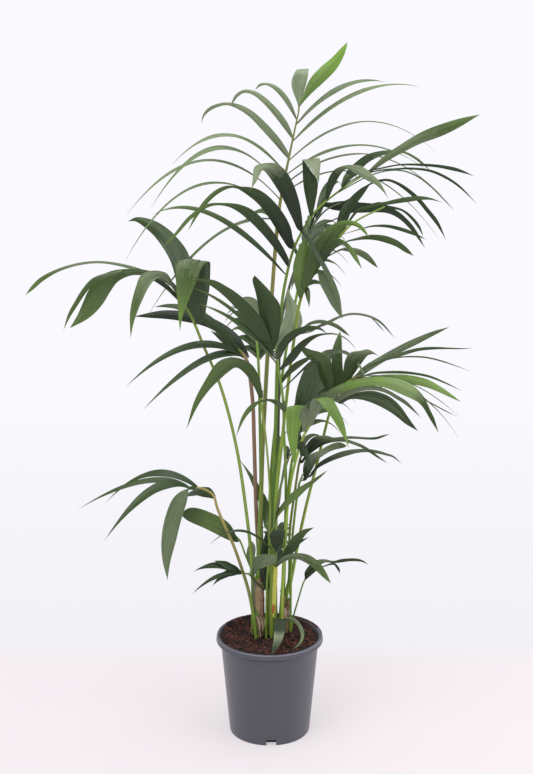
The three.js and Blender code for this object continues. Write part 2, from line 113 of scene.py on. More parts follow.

# Leaf greens from darkest to brightest, as plain base colours that are dealt out along each leaflet in
# steps of a third. A leaflet's greens are partly its own colour and partly painted light: darker where it
# lies in shade, brighter where light falls on it. PALE is a grey-green painted sheen where light glances
# off arched and folded leaflets, and in places the paler underside of a leaflet that turns over; it is
# mixed in by sixths.
GREENS = [
    (0.008, 0.016, 0.006),
    (0.014, 0.030, 0.009),
    (0.026, 0.050, 0.013),
    (0.045, 0.078, 0.019),
    (0.074, 0.122, 0.030),
    (0.108, 0.185, 0.038),
    (0.145, 0.270, 0.034),
    (0.190, 0.370, 0.034),
]
# Undersides from darkest to palest. The darkest ones stand for undersides in shade: painted shade.
UNDERSIDES = [
    (0.018, 0.032, 0.012),
    (0.062, 0.092, 0.040),
    (0.120, 0.160, 0.085),
    (0.210, 0.260, 0.160),
]
PALE = (0.270, 0.320, 0.200)
LEAF_EDGE = (0.20, 0.26, 0.10)
LEAF_TIP = (0.42, 0.36, 0.16)

# A frond's stalk is a curve through a few points, and its rib goes on from there. "radii" and "tones",
# which are places in STALKS, are the limb's at its foot, its split and its tip. "greens" go from a
# leaflet's root to its tip: a green is a place in GREENS, or a pair with its share of PALE. "turn" is how
# far leaflets roll, in degrees. A leaflet is (place along the rib, reach right, reach back, rise, arch,
# width), and may have its own turn and crest, which is how far along its chord the arch stands. Other
# leaflets are in DRAWN.
FRONDS = {
    "crown": {
        "stalk": [
            (-27, 5, 350), (-21, 12, 496), (-15, 25, 676), (-9, 35, 787), (-4, 42, 874), (5, 50, 1000),
            (15, 58, 1130),
        ],
        "rib": [(23, 60, 1198), (40, 58, 1286), (61, 45, 1389)],
        "radii": (5.4, 4.1, 1.4), "tones": (2, 3.4, 2.6), "greens": ((3, 0.17), (4, 0.17)), "turn": 42,
        "leaflets": [
            (0.48, -235, -80, 26, 72, 20, {"turn": 22}), (0.34, -270, -130, -22, 108, 18, {"turn": 18}),
            (0.26, -320, -90, -20, 100, 18, {"turn": 18}),
            (0.15, -316, -150, -78, 112, 14, {"crest": 0.55, "turn": 15}),
            (0.1, -282, -60, -205, 68, 14, {"turn": 18}), (0.88, 190, 70, 82, 34, 15, {"turn": 30}),
            (0.74, 272, 60, 108, 45, 13, {"turn": 26}), (0.58, 322, 110, 8, 74, 14, {"turn": 8}),
            (0.46, 305, 60, 4, 60, 14, {"turn": 4}), (0.38, 352, 130, -40, 80, 14, {"turn": 0}),
            (0.3, 354, 150, -118, 96, 12, {"turn": 0}),
        ],
    },
    "left": {
        "stalk": [
            (-38, 14, 222), (-39, 0, 382), (-52, -5, 525), (-73, -15, 676), (-106, -28, 814),
            (-141, -40, 905), (-157, -45, 949),
        ],
        "rib": [(-171, -50, 981), (-187, -55, 1002)],
        "radii": (4, 3, 1.8), "tones": (1.4, 1.4, 3), "greens": (1.6, 3.2),
    },
    "upper_right": {
        "stalk": [
            (5, 26, 405), (6, 38, 470), (9, 40, 541), (13, 20, 728), (17, -12, 888), (24, -25, 977),
            (30, -30, 1025),
        ],
        "rib": [(48, -42, 1105), (69, -52, 1152), (95, -62, 1192), (143, -75, 1235), (195, -88, 1271)],
        "radii": (4.2, 3.2, 1.6), "tones": (2.6, 2, 1.6), "greens": (1.6, 4), "turn": 45,
        "leaflets": [
            (0.09, -276, -30, 130, 58, 14, {"crest": 0.6}), (0.81, 35, 30, 16, 20, 16),
        ],
    },
    "shaded_right": {
        "stalk": [(6, 42, 222), (16, 45, 532), (20, 38, 763), (24, 30, 933), (43, 28, 1020)],
        "rib": [(62, 24, 1080), (79, 20, 1128), (116, 14, 1181), (147, 10, 1197)],
        # Tones 9 give this stalk and rib the dull grey-green: painted shade.
        "radii": (3.8, 3, 1.6), "tones": (9, 9, 9), "greens": (1.5, 3.5), "turn": 30,
        "leaflets": [
            (0.7, 60, 110, 60, 40, 20), (0.3, -120, 10, 70, 60, 26),
        ],
    },
    "right_arch": {
        "stalk": [
            (12, 18, 405), (14, 15, 542), (29, -12, 709), (39, -28, 814), (51, -42, 916), (65, -55, 1009),
        ],
        "rib": [(89, -65, 1065), (127, -76, 1118), (167, -88, 1168), (232, -100, 1205)],
        "radii": (4.2, 3.2, 1.6), "tones": (0, 1, 2), "greens": (2.4, 4), "turn": 45,
        "leaflets": [
            (0.1, 8, -20, -42, 6, 12),
        ],
    },
    "middle_left": {
        "stalk": [(-20, 12, 350), (-29, 22, 493), (-34, 6, 681), (-37, -8, 775), (-48, -22, 863)],
        "rib": [(-56, -27, 880), (-66, -32, 893)],
        "radii": (4.4, 4.2, 2.2), "tones": (6, 6, 3), "greens": (1.4, 2.6),
        "leaflets": [
            (0.9, -182, 50, 84, 35, 24), (0.3, -76, 40, 50, 5, 20),
            (0.5, -241, -110, -41, 52, 18, {"crest": 0.45}),
            (0.4, -212, -100, -93, 41, 18, {"crest": 0.35}),
        ],
    },
    "bent_leaf": {
        "stalk": [(-2, 6, 222), (-1, 5, 308), (0, -5, 455), (1, -15, 552), (-8, -35, 693), (-18, -50, 782)],
        "rib": [(-17, -53, 796), (-16, -55, 809)],
        "radii": (2.6, 2.2, 1.6), "tones": (1, 1, 2), "greens": (3, 4.5), "turn": 45,
    },
    "centre": {
        "stalk": [(20, 6, 222), (32, 8, 402), (35, -25, 601), (30, -50, 719), (28, -65, 790)],
        "rib": [(19, -80, 859), (6, -95, 927), (-4, -103, 943)],
        "radii": (3.6, 2.8, 1.6), "tones": (2, 2, 1.6), "greens": (1.6, 3.4), "turn": 45,
        "leaflets": [
            (0.65, -168, -40, 150, 22, 14), (0.6, -158, -60, 128, 20, 14),
        ],
    },
    "right_fan": {
        "stalk": [
            (39, 31, 310), (46, 40, 330), (61, 42, 414), (80, 28, 518), (105, 8, 634), (129, -12, 749),
        ],
        "rib": [(139, -18, 783), (156, -28, 815), (190, -42, 838)],
        "radii": (3.8, 3, 1.8), "tones": (0.4, 1.4, 3), "greens": (1.6, 3.6), "turn": 42,
        "leaflets": [
            (0.9, 211, -90, -104, 45, 5, {"crest": 0.6, "turn": 10}),
            (0.97, 200, -110, -56, 30, 5, {"turn": 10}),
        ],
    },
    "bright_front": {
        "stalk": [
            (26, -6, 222), (30, -10, 386), (38, -22, 531), (50, -33, 621), (71, -46, 703), (79, -50, 720),
        ],
        "rib": [(82, -52, 728), (85, -55, 736)],
        "radii": (3.6, 2.8, 1.8), "tones": (0, 0, 1), "greens": (6, 7), "turn": 30,
    },
    "low_right": {
        "stalk": [(31, 27, 310), (42, 26, 340), (45, 22, 469), (56, 14, 565), (66, 5, 637)],
        "rib": [(71, 3, 652), (76, 0, 666)],
        "radii": (3.3, 2.6, 1.6), "tones": (2, 3, 3), "greens": (0.6, 1.6),
        "leaflets": [
            (0.4, -40, 60, 20, 40, 20),
        ],
    },
    "low_right_twin": {
        "stalk": [(47, 20, 222), (48, 14, 390), (52, -2, 480), (64, -12, 585)],
        "rib": [(68, -16, 600), (72, -20, 612)],
        "radii": (3, 2.5, 1.6), "greens": (0.6, 2),
    },
    "olive": {
        "stalk": [
            (4, -6, 222), (4, -9, 400), (8, -12, 468), (14, -13, 533), (25, -14, 587), (36, -16, 632),
        ],
        "rib": [(40, -17, 644), (44, -18, 656)],
        "radii": (3.2, 2.6, 1.6), "tones": (0.6, 3, 3), "greens": (1, 2),
        "leaflets": [
            (0.5, 2, 60, -20, 30, 18), (0.9, 45, -80, -20, 45, 20),
        ],
    },
    "low_left": {
        "stalk": [
            (-30, -10.5, 222), (-36, -11, 276), (-47, -14, 339), (-62, -19, 394), (-80, -25, 451),
            (-97, -30, 494), (-114, -36, 540),
        ],
        "rib": [(-123, -40, 571), (-150, -48, 590), (-171, -54, 591)],
        "radii": (4.2, 3, 1.8), "tones": (1.6, 4.2, 4), "greens": (1.8, 2.8),
        "leaflets": [
            (0.8, -210, 70, -60, 52, 18), (0.98, -248, 20, -55, 37, 14, {"crest": 0.35}),
            (0.96, -180, -110, -80, 50, 22, {"crest": 0.4}), (0.3, -78, 80, -34, 20, 28),
        ],
    },
    "entire_leaf": {
        "stalk": [(-30, 13, 350), (-44, 11, 388), (-56, 6, 421), (-66, 2, 451)],
        "rib": [(-79, 0, 466), (-92, -2, 478)],
        "radii": (2.2, 2, 1.4), "greens": (2, 4), "turn": 60,
    },
    "low_dark": {
        "stalk": [(-19, 0, 350), (-28, -5, 362), (-38, -9, 372)],
        "rib": [(-52, -26, 384), (-62, -44, 392)],
        "radii": (2.4, 2.2, 1.4), "greens": (0.6, 1.6),
        "leaflets": [
            (1, -64, -20, -22, 15, 18), (0.9, -62, -15, 35, 5, 20), (0.8, -108, -30, 16, 18, 18),
            (0.95, -108, -60, -26, 18, 10),
        ],
    },
    "low_middle": {
        "stalk": [(13, -16, 222), (13, -20, 310), (12, -24, 396)],
        "rib": [(12, -25, 414), (12, -26, 432)],
        "radii": (2.6, 2.3, 1.6), "greens": (1.2, 2.2),
        "leaflets": [
            (1, -145, -20, 26, 44, 7), (0.3, 75, -10, 66, 8, 12),
        ],
    },
    "slanting": {
        "stalk": [(-8, -12, 222), (-6, -16, 360), (4, -24, 480)],
        "rib": [(8, -25, 490), (12, -26, 500)],
        "radii": (2.4, 2, 1.4), "greens": (4, 4), "turn": 45,
        "leaflets": [
            (0.4, 30, -40, 205, 4, 26),
        ],
    },
    "lowest_right": {
        "stalk": [(50, 38, 222), (53, 34, 252), (64, 28, 298), (75, 22, 341)],
        "rib": [(80, 20, 353), (84, 18, 365)],
        "radii": (2, 1.8, 1.3), "tones": (1, 2, 2), "greens": (1, 2),
    },
    "soil_leaf": {
        "stalk": [(24, -16, 222), (25, -17, 240), (26, -18, 252)],
        "rib": [(27, -19, 258), (28, -20, 263)],
        "radii": (2.2, 2, 1.5), "greens": (3, 4), "turn": 0,
    },
}
# The fronds behind: their leaflets' length at the ends and what it swells by in the middle, how far they
# sweep on and gain on it, how far one of a pair slips back, and their rise, droop, arch and slimness.
FEATHER = {
    "ends": 0.75, "swell": 0.35, "sweep": 2, "sweep_gain": 1.3, "slip": 0.06, "rise": 0.1, "droop": 0.35,
    "arch": 0.24, "slim": 0.85,
}
BACK_FRONDS = {
    "back_left": {
        "stalk": [(-14, 36, 222), (-19, 48, 520), (-22, 66, 725), (-25, 95, 835)],
        "rib": [(-31, 140, 888), (-38, 195, 912)],
        "radii": (3.8, 3, 1.6), "greens": (2, 3.4), "turn": 20, "pairs": 4, "reach": 146, "width": 24,
    },
    "back_right": {
        "stalk": [(30, 52, 222), (36, 66, 430), (46, 84, 580), (62, 108, 662)],
        "rib": [(82, 158, 722), (104, 218, 746)],
        "radii": (3.8, 3, 1.6), "greens": (2, 3.4), "turn": 20, "pairs": 4, "reach": 175, "width": 24,
    },
    "back_low": {
        "stalk": [(6, 64, 222), (8, 76, 300), (12, 96, 360)],
        "rib": [(14, 130, 384), (16, 175, 392)],
        "radii": (2.6, 2.2, 1.4), "greens": (1.6, 3), "turn": 20, "pairs": 3, "reach": 110, "width": 18,
    },
    "back_upper": {
        "stalk": [(-4, 44, 222), (4, 66, 600), (34, 84, 850), (60, 110, 985)],
        "rib": [(78, 150, 1060), (94, 205, 1105)],
        "radii": (3.8, 3, 1.6), "greens": (2, 3.6), "turn": 20, "pairs": 4, "reach": 150, "width": 22,
    },
}

# Leaflets drawn where the eye rests: (place along the rib, side seen at the root, greens from
# root to tip, depths in mm from root to tip, and the two edges at stations as u, v, u, v in the
# photograph's frame, ending in the tip's u, v, and if need be the underside's own tones). Side 1 shows
# the upper face first, -1 the underside. A flap that is folded over has no place and starts at its fold.
DRAWN = {
    "crown": [
        (1, 1, (4.5, 6.3), (45, 55, 65), [
            (299.5, 104, 300.5, 106), (304, 92, 311, 94), (310, 79, 323, 83), (320, 67.5, 335, 71),
            (332, 57.5, 342, 60), (341, 48, 346, 50), (347.5, 42)]),
        (0.97, -1, (4, 5), (47, 70, 80, 120), [
            (297.5, 104, 300, 104.5), (292.5, 91, 303.5, 93), (291.5, 81, 307, 81), (295, 73.5, 308.5, 72),
            (299, 70.5, 308.5, 70), (305, 69)]),
        (0.9, 1, ((2.6, 0.2), (3, 0.4), (3.2, 0.5), (4, 0.5)), (48, 60, 75, 85), [
            (296.2, 120.4, 297.2, 119.4), (289.4, 109.2, 291.6, 104), (282, 98.4, 284.6, 93),
            (273.8, 89.4, 276.4, 85.8), (266.6, 85.4, 268, 82.9), (260.6, 86.2, 259.4, 83.8), (255, 90)]),
        (0.77, 1, ((2.6, 0.2), (3, 0.4), (3.2, 0.5), (4, 0.5)), (54, 80, 105, 120), [
            (292.2, 139, 293.4, 137.6), (284, 128.6, 288.2, 124), (273.6, 115, 278.8, 110.6),
            (262.4, 102.6, 266, 98), (252.6, 94.8, 255, 91), (244, 93, 244.2, 89.6), (237.6, 97, 236, 94),
            (233.4, 102.4, 232.2, 100.4), (230.6, 106)]),
        (0.61, 1, ((2.6, 0.2), (3, 0.4), (3.2, 0.4), (4, 0.5)), (57, 90, 130, 150), [
            (287.8, 158.6, 289, 157), (284, 154.8, 287.4, 150.8), (273.6, 142.8, 279.2, 138),
            (262, 130, 267, 124.2), (250, 117.4, 254, 112.2), (238.4, 109.4, 241.2, 105),
            (228, 105.4, 228.2, 102.4), (219.8, 106.4, 218.8, 103.4), (211.4, 110, 209.6, 107),
            (205, 115.4, 203.4, 113.6), (201, 123)]),
    ],
    "left": [
        (0.1, 1, (1.4, 2.1, 2.9), (-48, -10, 40, 75), [
            (192, 318, 197, 317), (183, 297, 196.5, 293), (176, 280, 195, 277), (171.5, 264, 191, 261),
            (167, 254.5, 186, 249), (161, 245, 177.5, 238), (153.5, 235.5, 167, 228),
            (144.5, 227.5, 153, 220), (135.5, 221.5, 137, 217), (127.5, 221.5)]),
        (0.05, -1, (0.4, 0.4, (1.8, 0.3), (2.6, 0.3), 3.6, 4.8, 5.6),
         (-50, -60, -70, -84, -100, -106, -108, -108), [
            (195, 320, 204, 320), (189, 305, 206.5, 306), (183, 285, 209.5, 288), (178, 268, 210.5, 270),
            (175.5, 257.5, 209.5, 259), (175.3, 267, 201, 269), (176, 285, 195, 285),
            (177.5, 303, 187.5, 303), (178.5, 318, 182.5, 317), (180, 331)], (0.6, 0.9)),
        (0.9, 1, (1, 1.6, (2.4, 0.5), (3, 0.5), (3, 0.5), 4, 5), (-52, -60, -64, -60), [
            (177, 300, 178.5, 297), (166, 289.5, 169, 286), (153, 280.5, 156, 276.5),
            (139, 272.3, 141, 269), (120, 266.4, 121, 263.6), (100, 263.4, 100, 261),
            (80, 265.2, 79.5, 262.6), (60, 271.2, 58.8, 268.4), (44, 280.4, 41.4, 276.8),
            (34, 289, 31.5, 286), (25.5, 295)]),
        (1, 1, (1.2, (2, 0.3), 2.6, 3.2, 4), (-56, -90, -130, -150), [
            (173, 288.5, 176, 285.5), (159, 279.5, 161, 274.5), (146, 276, 148, 270.5),
            (132, 275.5, 132.5, 269), (119, 281, 113.5, 270.5), (111, 291, 98, 277.5),
            (104, 302.5, 89, 289.5), (95.5, 312.5, 83, 302.5), (86, 320, 78, 314), (76.5, 325, 73.5, 322),
            (70, 328)]),
        (None, 1, ((2.4, 0.4), 3, 3.6, 4.4), (-100, -130, -150, -160), [
            (121, 272, 122, 270.4), (106, 277.6, 104.6, 273.6), (95, 283, 92, 278.6),
            (86, 293, 82.6, 288.8), (78.4, 304.4, 75, 301), (70.6, 316.4, 68, 314), (63.5, 330)]),
        (0.97, 1, (1, (2, 0.4), (2.6, 0.4), 3.6, 4.6), (-58, -100, -130, -145), [
            (177, 295.5, 179, 293.5), (170, 285, 172.6, 282), (162.5, 278, 166, 273),
            (155.5, 279.5, 152, 270.6), (149.5, 286.5, 141, 275.5), (144, 297, 135.6, 288),
            (138.6, 309, 131.8, 302), (134, 322, 129.8, 317), (130.6, 338)]),
    ],
    "upper_right": [
        (0.42, 1, (1.1, 1, 1, 1.2, 1.7, (3.2, 0.6), (4, 0.7), (4, 0.5)),
         (-52, -80, -115, -140, -150, -150), [
            (298, 231, 303, 232), (292, 218, 302, 217), (284, 202, 299, 201), (276, 188, 294, 186),
            (269, 177, 286, 172), (263, 171, 274, 163.5), (260, 175, 256, 165.5), (257, 181, 253, 176),
            (252.5, 187, 251.5, 187), (248, 193)], ((2.4, 0.6), (2.6, 0.6))),
        (0.28, 1, (0.5, 4.5), (-42, -75, -105, -120, -118), [
            (289, 249, 294, 248), (281, 237, 291, 228), (271, 221, 281, 210), (259, 205, 268, 196),
            (247, 195, 255, 188.5), (236, 188.5, 240, 186.5), (226, 189.5, 225, 186),
            (213, 198, 211, 193.5), (200, 213, 197.5, 209.5), (188, 231)]),
        (0.15, 1, (0.5, 4.5), (-36, -90, -135, -155, -150), [
            (287, 266, 290, 262), (276, 251, 283, 247), (262, 234, 271, 229), (247, 219, 256, 213),
            (233, 209, 240, 205), (220, 205.5, 222, 203), (207, 208, 206, 204.5),
            (191, 219.5, 188.5, 216.5), (176, 236, 174, 234), (162, 248)]),
        (0.53, 1, (2, 1.6), (-60, -75, -85, -90), [
            (309.5, 215, 313, 214), (306, 200, 315.5, 202), (304, 190, 317.3, 192),
            (303, 180, 317.5, 181.5), (302.6, 170, 310.5, 170.5), (302.4, 161, 304, 161), (302.6, 159.5)]),
        (None, 1, ((4, 0.8), (4, 0.9), (5, 0.5)), (-90, -94, -92, -88), [
            (303.2, 160.2, 303.5, 159.4), (308, 166, 311, 159), (313.5, 174, 319.5, 158.5),
            (317, 180, 319.5, 170), (318.6, 183.5)]),
        (0.68, 1, (1.6, 1.6, 1.8, (3, 0.5), (4, 0.6), (4.5, 0.4), 5.5), (-64, -95, -120, -140, -150), [
            (325.2, 198.5, 328, 199.5), (326, 187, 331, 193), (329, 177.5, 335.5, 183),
            (334.5, 170, 341.5, 173.5), (343, 166, 347, 169.5), (352.5, 165, 355, 174),
            (362, 167, 366, 180.5), (371.5, 174.5, 375.5, 185), (380, 183.5, 383, 192), (388.5, 199)]),
        (0.5, 1, (0.7, 0.8, 1.4, 2.6, 4), (-56, -92, -132, -165, -170), [
            (301.5, 232, 303.5, 230.5), (307, 240.5, 310, 238.5), (314.6, 254, 318.4, 251.8),
            (323, 269.5, 327.4, 267.4), (331, 285, 335.4, 283.4), (337, 300.5, 340.4, 299), (342.5, 320)]),
        (0.82, 1, (1, 1.5, (3, 0.3), 3), (-78, -50, -20, 10), [
            (341, 184, 347, 182.5), (347, 171, 355.5, 175.5), (355.5, 162.5, 361.5, 169),
            (366, 155, 370, 161.5), (379.5, 151, 381.5, 156), (392.5, 150, 392.5, 153.5),
            (404, 151, 404, 153.5), (415.5, 156.5, 414.5, 159), (423, 162.5, 422, 164.5), (430, 170)]),
        (0.8, 1, (2, 1.5, 1), (-80, -95, -85, -60), [
            (347, 178.5, 347.5, 179.5), (362, 172, 362.5, 173.2), (381, 167.5, 381.3, 169),
            (400, 164, 400, 165.6), (420, 163.6, 420, 166), (438, 164.6, 437.5, 167.6),
            (453, 167, 451.5, 170.5), (462, 170, 461, 172.5), (474, 176)]),
        (0.76, 1, (2, 1.5, 1.5), (-80, -110, -115, -110), [
            (349, 181.5, 349.5, 182.5), (365, 173.5, 365.5, 174.7), (381, 169.5, 381.5, 170.8),
            (396, 168.2, 396.5, 169.8), (412, 167.5, 412, 169.7), (430, 169.5, 429.5, 172),
            (446, 176, 445, 178.5), (461, 186.5, 460, 188.3), (477, 204)]),
        (0.72, 1, (2.5, 2, 3), (-80, -140, -186, -214), [
            (352, 184, 352.4, 185), (370, 175, 370.5, 176), (388, 170, 388.4, 171.2),
            (404, 170.5, 404, 171.8), (419, 176.5, 418.3, 177.8), (433, 187.5, 432.3, 188.7),
            (446, 201, 445.5, 202), (454, 210)]),
        (1, 1, ((2.4, 0.2), (2.8, 0.3), (3, 0.3), 3.4, 4.6), (-88, -100, -118), [
            (367, 172, 368, 174), (384, 156, 388, 161), (400, 145, 404, 152), (416, 135, 420, 144),
            (432, 127.5, 440, 137), (458, 119, 460, 127), (480, 114.5)]),
    ],
    "shaded_right": [
        (0.93, 1, (0.5, 1, 1.5), (10, 20, 30, 30), [
            (351, 197.5, 352, 198.5), (358, 191, 358.7, 192.5), (366, 185.5, 366.5, 187),
            (374, 181.2, 374, 183.4), (381.5, 179.2, 381.5, 181.5), (389, 179, 389, 181.5),
            (398.5, 182.3, 397.3, 185), (408, 188, 406, 191.2), (419.3, 197.5, 416.8, 200.8),
            (429, 209, 426.3, 212.2), (438.5, 221.5, 436.5, 225), (446, 239.5)]),
        (0.6, 1, (0.5, 2), (12, 10, 10), [
            (372, 203.5, 372.5, 205.5), (388, 205.5, 387.5, 208), (402, 209, 401.2, 211),
            (412, 216, 410.5, 218.6), (420, 226, 418.3, 228.4), (423.5, 237)]),
        (0.35, 1, (0, 1, 2), (20, 10, 20, 40), [
            (318, 207, 319, 210), (332, 202.5, 333, 210), (346, 201, 347, 212.5), (361, 202.5, 361, 213),
            (376, 204, 375, 212.5), (391, 207.5, 388, 213.5), (404, 216, 400, 219.5),
            (416, 230, 412, 231.5), (425, 248)]),
    ],
    "right_arch": [
        (0.03, 1, (3.6, 4.8, 4.2), (-58, -68, -72, -72), [
            (299.5, 299, 301.5, 299), (294.5, 283, 307, 285), (293, 268, 308.5, 270), (297, 252, 309, 255),
            (303, 240, 308, 243), (306, 236)]),
        (0.52, 1, (2, 2.5, 3), (-80, -76, -66, -50), [
            (354.5, 211.7, 356.5, 213.6), (366, 206, 368, 209), (377.4, 203.2, 379.3, 206),
            (387, 201.3, 389, 204.7), (396.4, 199, 398.3, 203.3), (407.8, 196.9, 409.7, 201.8),
            (419.2, 196, 421, 200), (430.6, 197.8, 431.5, 200), (443, 202.8)]),
        (0.6, 1, ((2, 0.3), 2, 2), (-84, -100, -110), [
            (365, 227.2, 366, 228.2), (375.5, 224.9, 376.5, 227), (388.8, 224.8, 388.8, 228),
            (402.1, 227.7, 401.2, 231.3), (413.5, 232, 412.6, 235), (426.4, 239.5)]),
        (0.42, 1, ((2, 0.3), 2.4, 2.6), (-76, -100, -130, -135), [
            (345, 241.7, 345, 243), (354.6, 238.5, 355.6, 240.6), (366, 235.4, 366, 239.6),
            (375.5, 234.7, 375.5, 240.4), (386.9, 236.2, 386, 243.1), (398.3, 241, 396.4, 246.9),
            (407.8, 248.6, 405, 252.2), (413.8, 256)]),
        (0.34, 1, (2, (2.6, 0.3), 3), (-72, -100, -120), [
            (338, 250, 339, 251.4), (346, 247.8, 346.5, 251.5), (353.5, 248, 354.5, 253.8),
            (361, 250, 361.5, 257.4), (368, 254, 367.5, 261.5), (374, 261, 372.5, 264.8), (378, 268)]),
        (0.16, 1, (1.9, 2, 3.2), (-64, -100, -130, -140), [
            (316.6, 272.5, 320.4, 272.2), (320, 283, 327, 275.5), (325, 293, 333, 285),
            (332, 306, 338, 298), (340, 316, 341.5, 312), (342.5, 318)]),
        (0.3, 1, (3.4, 3.3, 3.1, 3.3, 5, 5.6), (-60, -80, -110, -130, -135), [
            (302, 289, 305, 290), (304, 269, 317, 272), (310, 251, 328, 256), (320, 236, 337, 241),
            (333, 225, 344, 228.5), (345, 221, 350, 225.5), (356, 222, 357.5, 227.5), (364, 228, 364, 233),
            (369, 237.5)]),
        (0.33, 1, (1.6, 2, 3, 4.6, 5), (-66, -120, -160, -185), [
            (318, 262, 323, 264), (325, 246, 333, 251), (334, 239.5, 342, 245.5), (345, 242, 347, 250),
            (355, 252, 353.5, 259), (362, 269)]),
        (0.5, 1, (1.8, 1.2, 1.6), (-60, -45, -30), [
            (330, 243, 334, 244), (336, 225, 345, 227), (340, 211, 351, 213), (349, 199, 358, 202),
            (360, 189, 364, 194), (371, 183)]),
    ],
    "middle_left": [
        (0.95, 1, (0.4, 0.7), (-32, 20, 60, 70), [
            (245, 359, 249, 357), (230, 343, 241, 339), (214, 330.5, 229, 327), (198, 324, 213, 318),
            (182, 321, 195, 312.5), (165, 319, 176, 310.5), (150, 318, 158, 311), (133, 316.5)]),
    ],
    "bent_leaf": [
        (1, 1, (2.7, 4), (-55, -80, -110, -140, -150), [
            (260, 399, 263, 398), (254, 387, 260.5, 381), (246, 375, 253, 366), (237, 368, 241, 359),
            (229, 372, 229, 358), (219, 381, 217, 364), (209, 391, 205, 381), (198, 406, 194, 402),
            (186.5, 429)]),
    ],
    "centre": [
        (0.76, 1, (2, 2.3), (-92, -110, -130), [
            (269, 350, 273, 350), (265, 338, 278, 340), (261, 322, 280.5, 323), (258, 306, 280, 306),
            (255.5, 293, 271, 293), (252.5, 281, 259, 280), (254.5, 275.5)]),
        (0.87, 1, (1.6, 2.5), (-98, -130, -150, -150), [
            (266, 342, 271, 340), (254, 328, 264, 322), (241, 314, 252, 307), (229, 301, 240, 296),
            (217, 290.5, 227, 287), (206, 283.5, 213, 280), (192, 279)]),
        (0.5, -1, ((3, 0.3), (3, 0.3)), (-80, -60, -50), [
            (257, 340, 263, 340), (251, 323, 262, 318), (246, 308, 258, 302), (241, 301, 252, 297.5),
            (237, 302, 243, 298), (232, 304)], ((1.4, 0.2), (1.6, 0.3))),
        (0.15, 1, (1.7, 1.5, 1.1), (-60, -62, -64, -60), [
            (309.5, 361.5, 314, 362), (303.6, 370, 318.5, 373), (299.4, 380, 320.6, 384),
            (296.6, 390.5, 317, 391.5), (295, 400, 311, 399), (294.8, 406, 305, 405), (297.5, 412)]),
        (0.7, 1, ((2, 0.3), (2.6, 0.6), (2.6, 0.6)), (-88, -60, -20, 0), [
            (271, 349, 274, 349), (276, 338, 283, 341), (281, 326, 296, 332), (285, 314, 303, 322),
            (286, 303, 300, 309), (287, 294, 292, 297), (288.5, 288)]),
        (0.9, 1, ((1.6, 0.2), (2, 0.3), (2, 0.4), 3), (-96, -100, -60, -40), [
            (306.4, 332, 308.1, 333), (316, 326.4, 317.8, 328.2), (326.5, 321.5, 328.3, 324.3),
            (338.8, 315.9, 339.6, 318.3), (351, 312.9, 351, 315.2), (363.3, 313.8, 362.4, 315.9),
            (373.8, 317.1, 372.9, 319.1), (383.4, 323.6, 382.2, 325.2), (395.6, 339)]),
        (None, 1, (2, 3), (-40, -38), [
            (372.5, 318.5, 372.2, 319.3), (376.5, 322, 376, 323), (380.5, 326.5, 379.8, 327.3),
            (384.8, 332)]),
        (0.63, 1, ((1.4, 0.1), 1.2, 1.6, 2.4), (-88, -120, -140, -140), [
            (274.9, 358.3, 280.1, 359.1), (277.5, 347.8, 286.3, 347.8), (283.6, 338.1, 293.3, 339.9),
            (292.4, 331.1, 300.3, 334.8), (302, 327.1, 309, 331.4), (312.5, 325.9, 317.8, 329.8),
            (320.4, 327.6, 323.9, 332), (328.6, 335.2)]),
        (0.75, 1, ((2, 0.3), (2.4, 0.4), (2.4, 0.2), 3), (-92, -110, -110, -100), [
            (303.8, 326.4, 307.3, 327.4), (310.8, 321.9, 314.3, 324.3), (319.5, 319.8, 322.1, 323.5),
            (328.3, 321.2, 329.1, 325.2), (337, 324.1, 337, 328.7), (344, 329.4, 343.5, 332.9),
            (350.1, 336.4)]),
        (0.42, 1, (1.4, 1.2, 1.4, (2.4, 0.4), 3), (-78, -100, -110, -100), [
            (279.3, 369.6, 281, 370.5), (282.8, 363.5, 286.3, 367), (289.6, 353.7, 295, 360),
            (298.3, 343.8, 302.8, 349.8), (307.3, 337.6, 311, 341.4), (316, 334.4, 318.4, 336.8),
            (324.5, 333.2, 326, 334.9), (333.5, 333, 335.5, 334.9), (343.4, 336.2, 345.4, 338.8),
            (350.6, 342, 352.4, 344.6), (356, 349.5)]),
        (0.2, 1, (2, 2.4, 3), (-66, -80, -80), [
            (281.4, 380.1, 282.8, 382.8), (286.3, 371.4, 289.8, 375.2), (294.1, 363.5, 298.5, 368.2),
            (302, 359.1, 305.5, 362.8), (310, 356.5, 310.5, 359), (317, 356)]),
        (0.02, 1, ((2.4, 0.3), 3, 4.2, 5), (-60, -80, -90, -90), [
            (286, 413, 287, 407), (278, 407, 279, 401), (269, 401.5, 270, 399), (260, 403, 261, 400),
            (254, 408.5, 251, 404.5), (247, 416, 244.5, 412), (242, 424, 240, 421.5), (236, 437)]),
    ],
    "right_fan": [
        (0.2, 1, (2.9, 3.5), (-18, -35, -60, -85, -95), [
            (327, 393, 333, 392), (322, 383, 333.5, 380), (316, 371, 332, 370), (311.5, 362.5, 329.5, 361),
            (309.5, 360, 322, 354), (304.5, 355, 311, 350), (300.5, 349, 303, 346.5), (298, 343)]),
        (0.5, 1, (2.9, 2.9, 4.1), (-24, 0, 30), [
            (334, 392, 340, 392), (332.5, 378, 343, 377), (331.5, 362, 342.5, 361), (332.5, 349, 342, 348),
            (336.5, 338, 341.7, 338), (340, 331)]),
        (0.66, 1, (2.4, 2.4, 2.5, (3, 0.4), (3.4, 0.5)), (-28, -35, -45, -50), [
            (341, 389, 345, 389), (343, 374, 353, 376), (345, 361, 361, 365), (350, 354, 367, 357),
            (360, 351.5, 370, 355), (369, 350, 374, 354.5), (380, 357)]),
        (0.3, -1, (3, (3, 0.5), (3, 0.5), 3), (-10, 10, 10, -20, -60), [
            (330, 390, 334, 390), (323, 370, 334, 372), (320, 355, 331, 361), (327, 349.5, 333, 356),
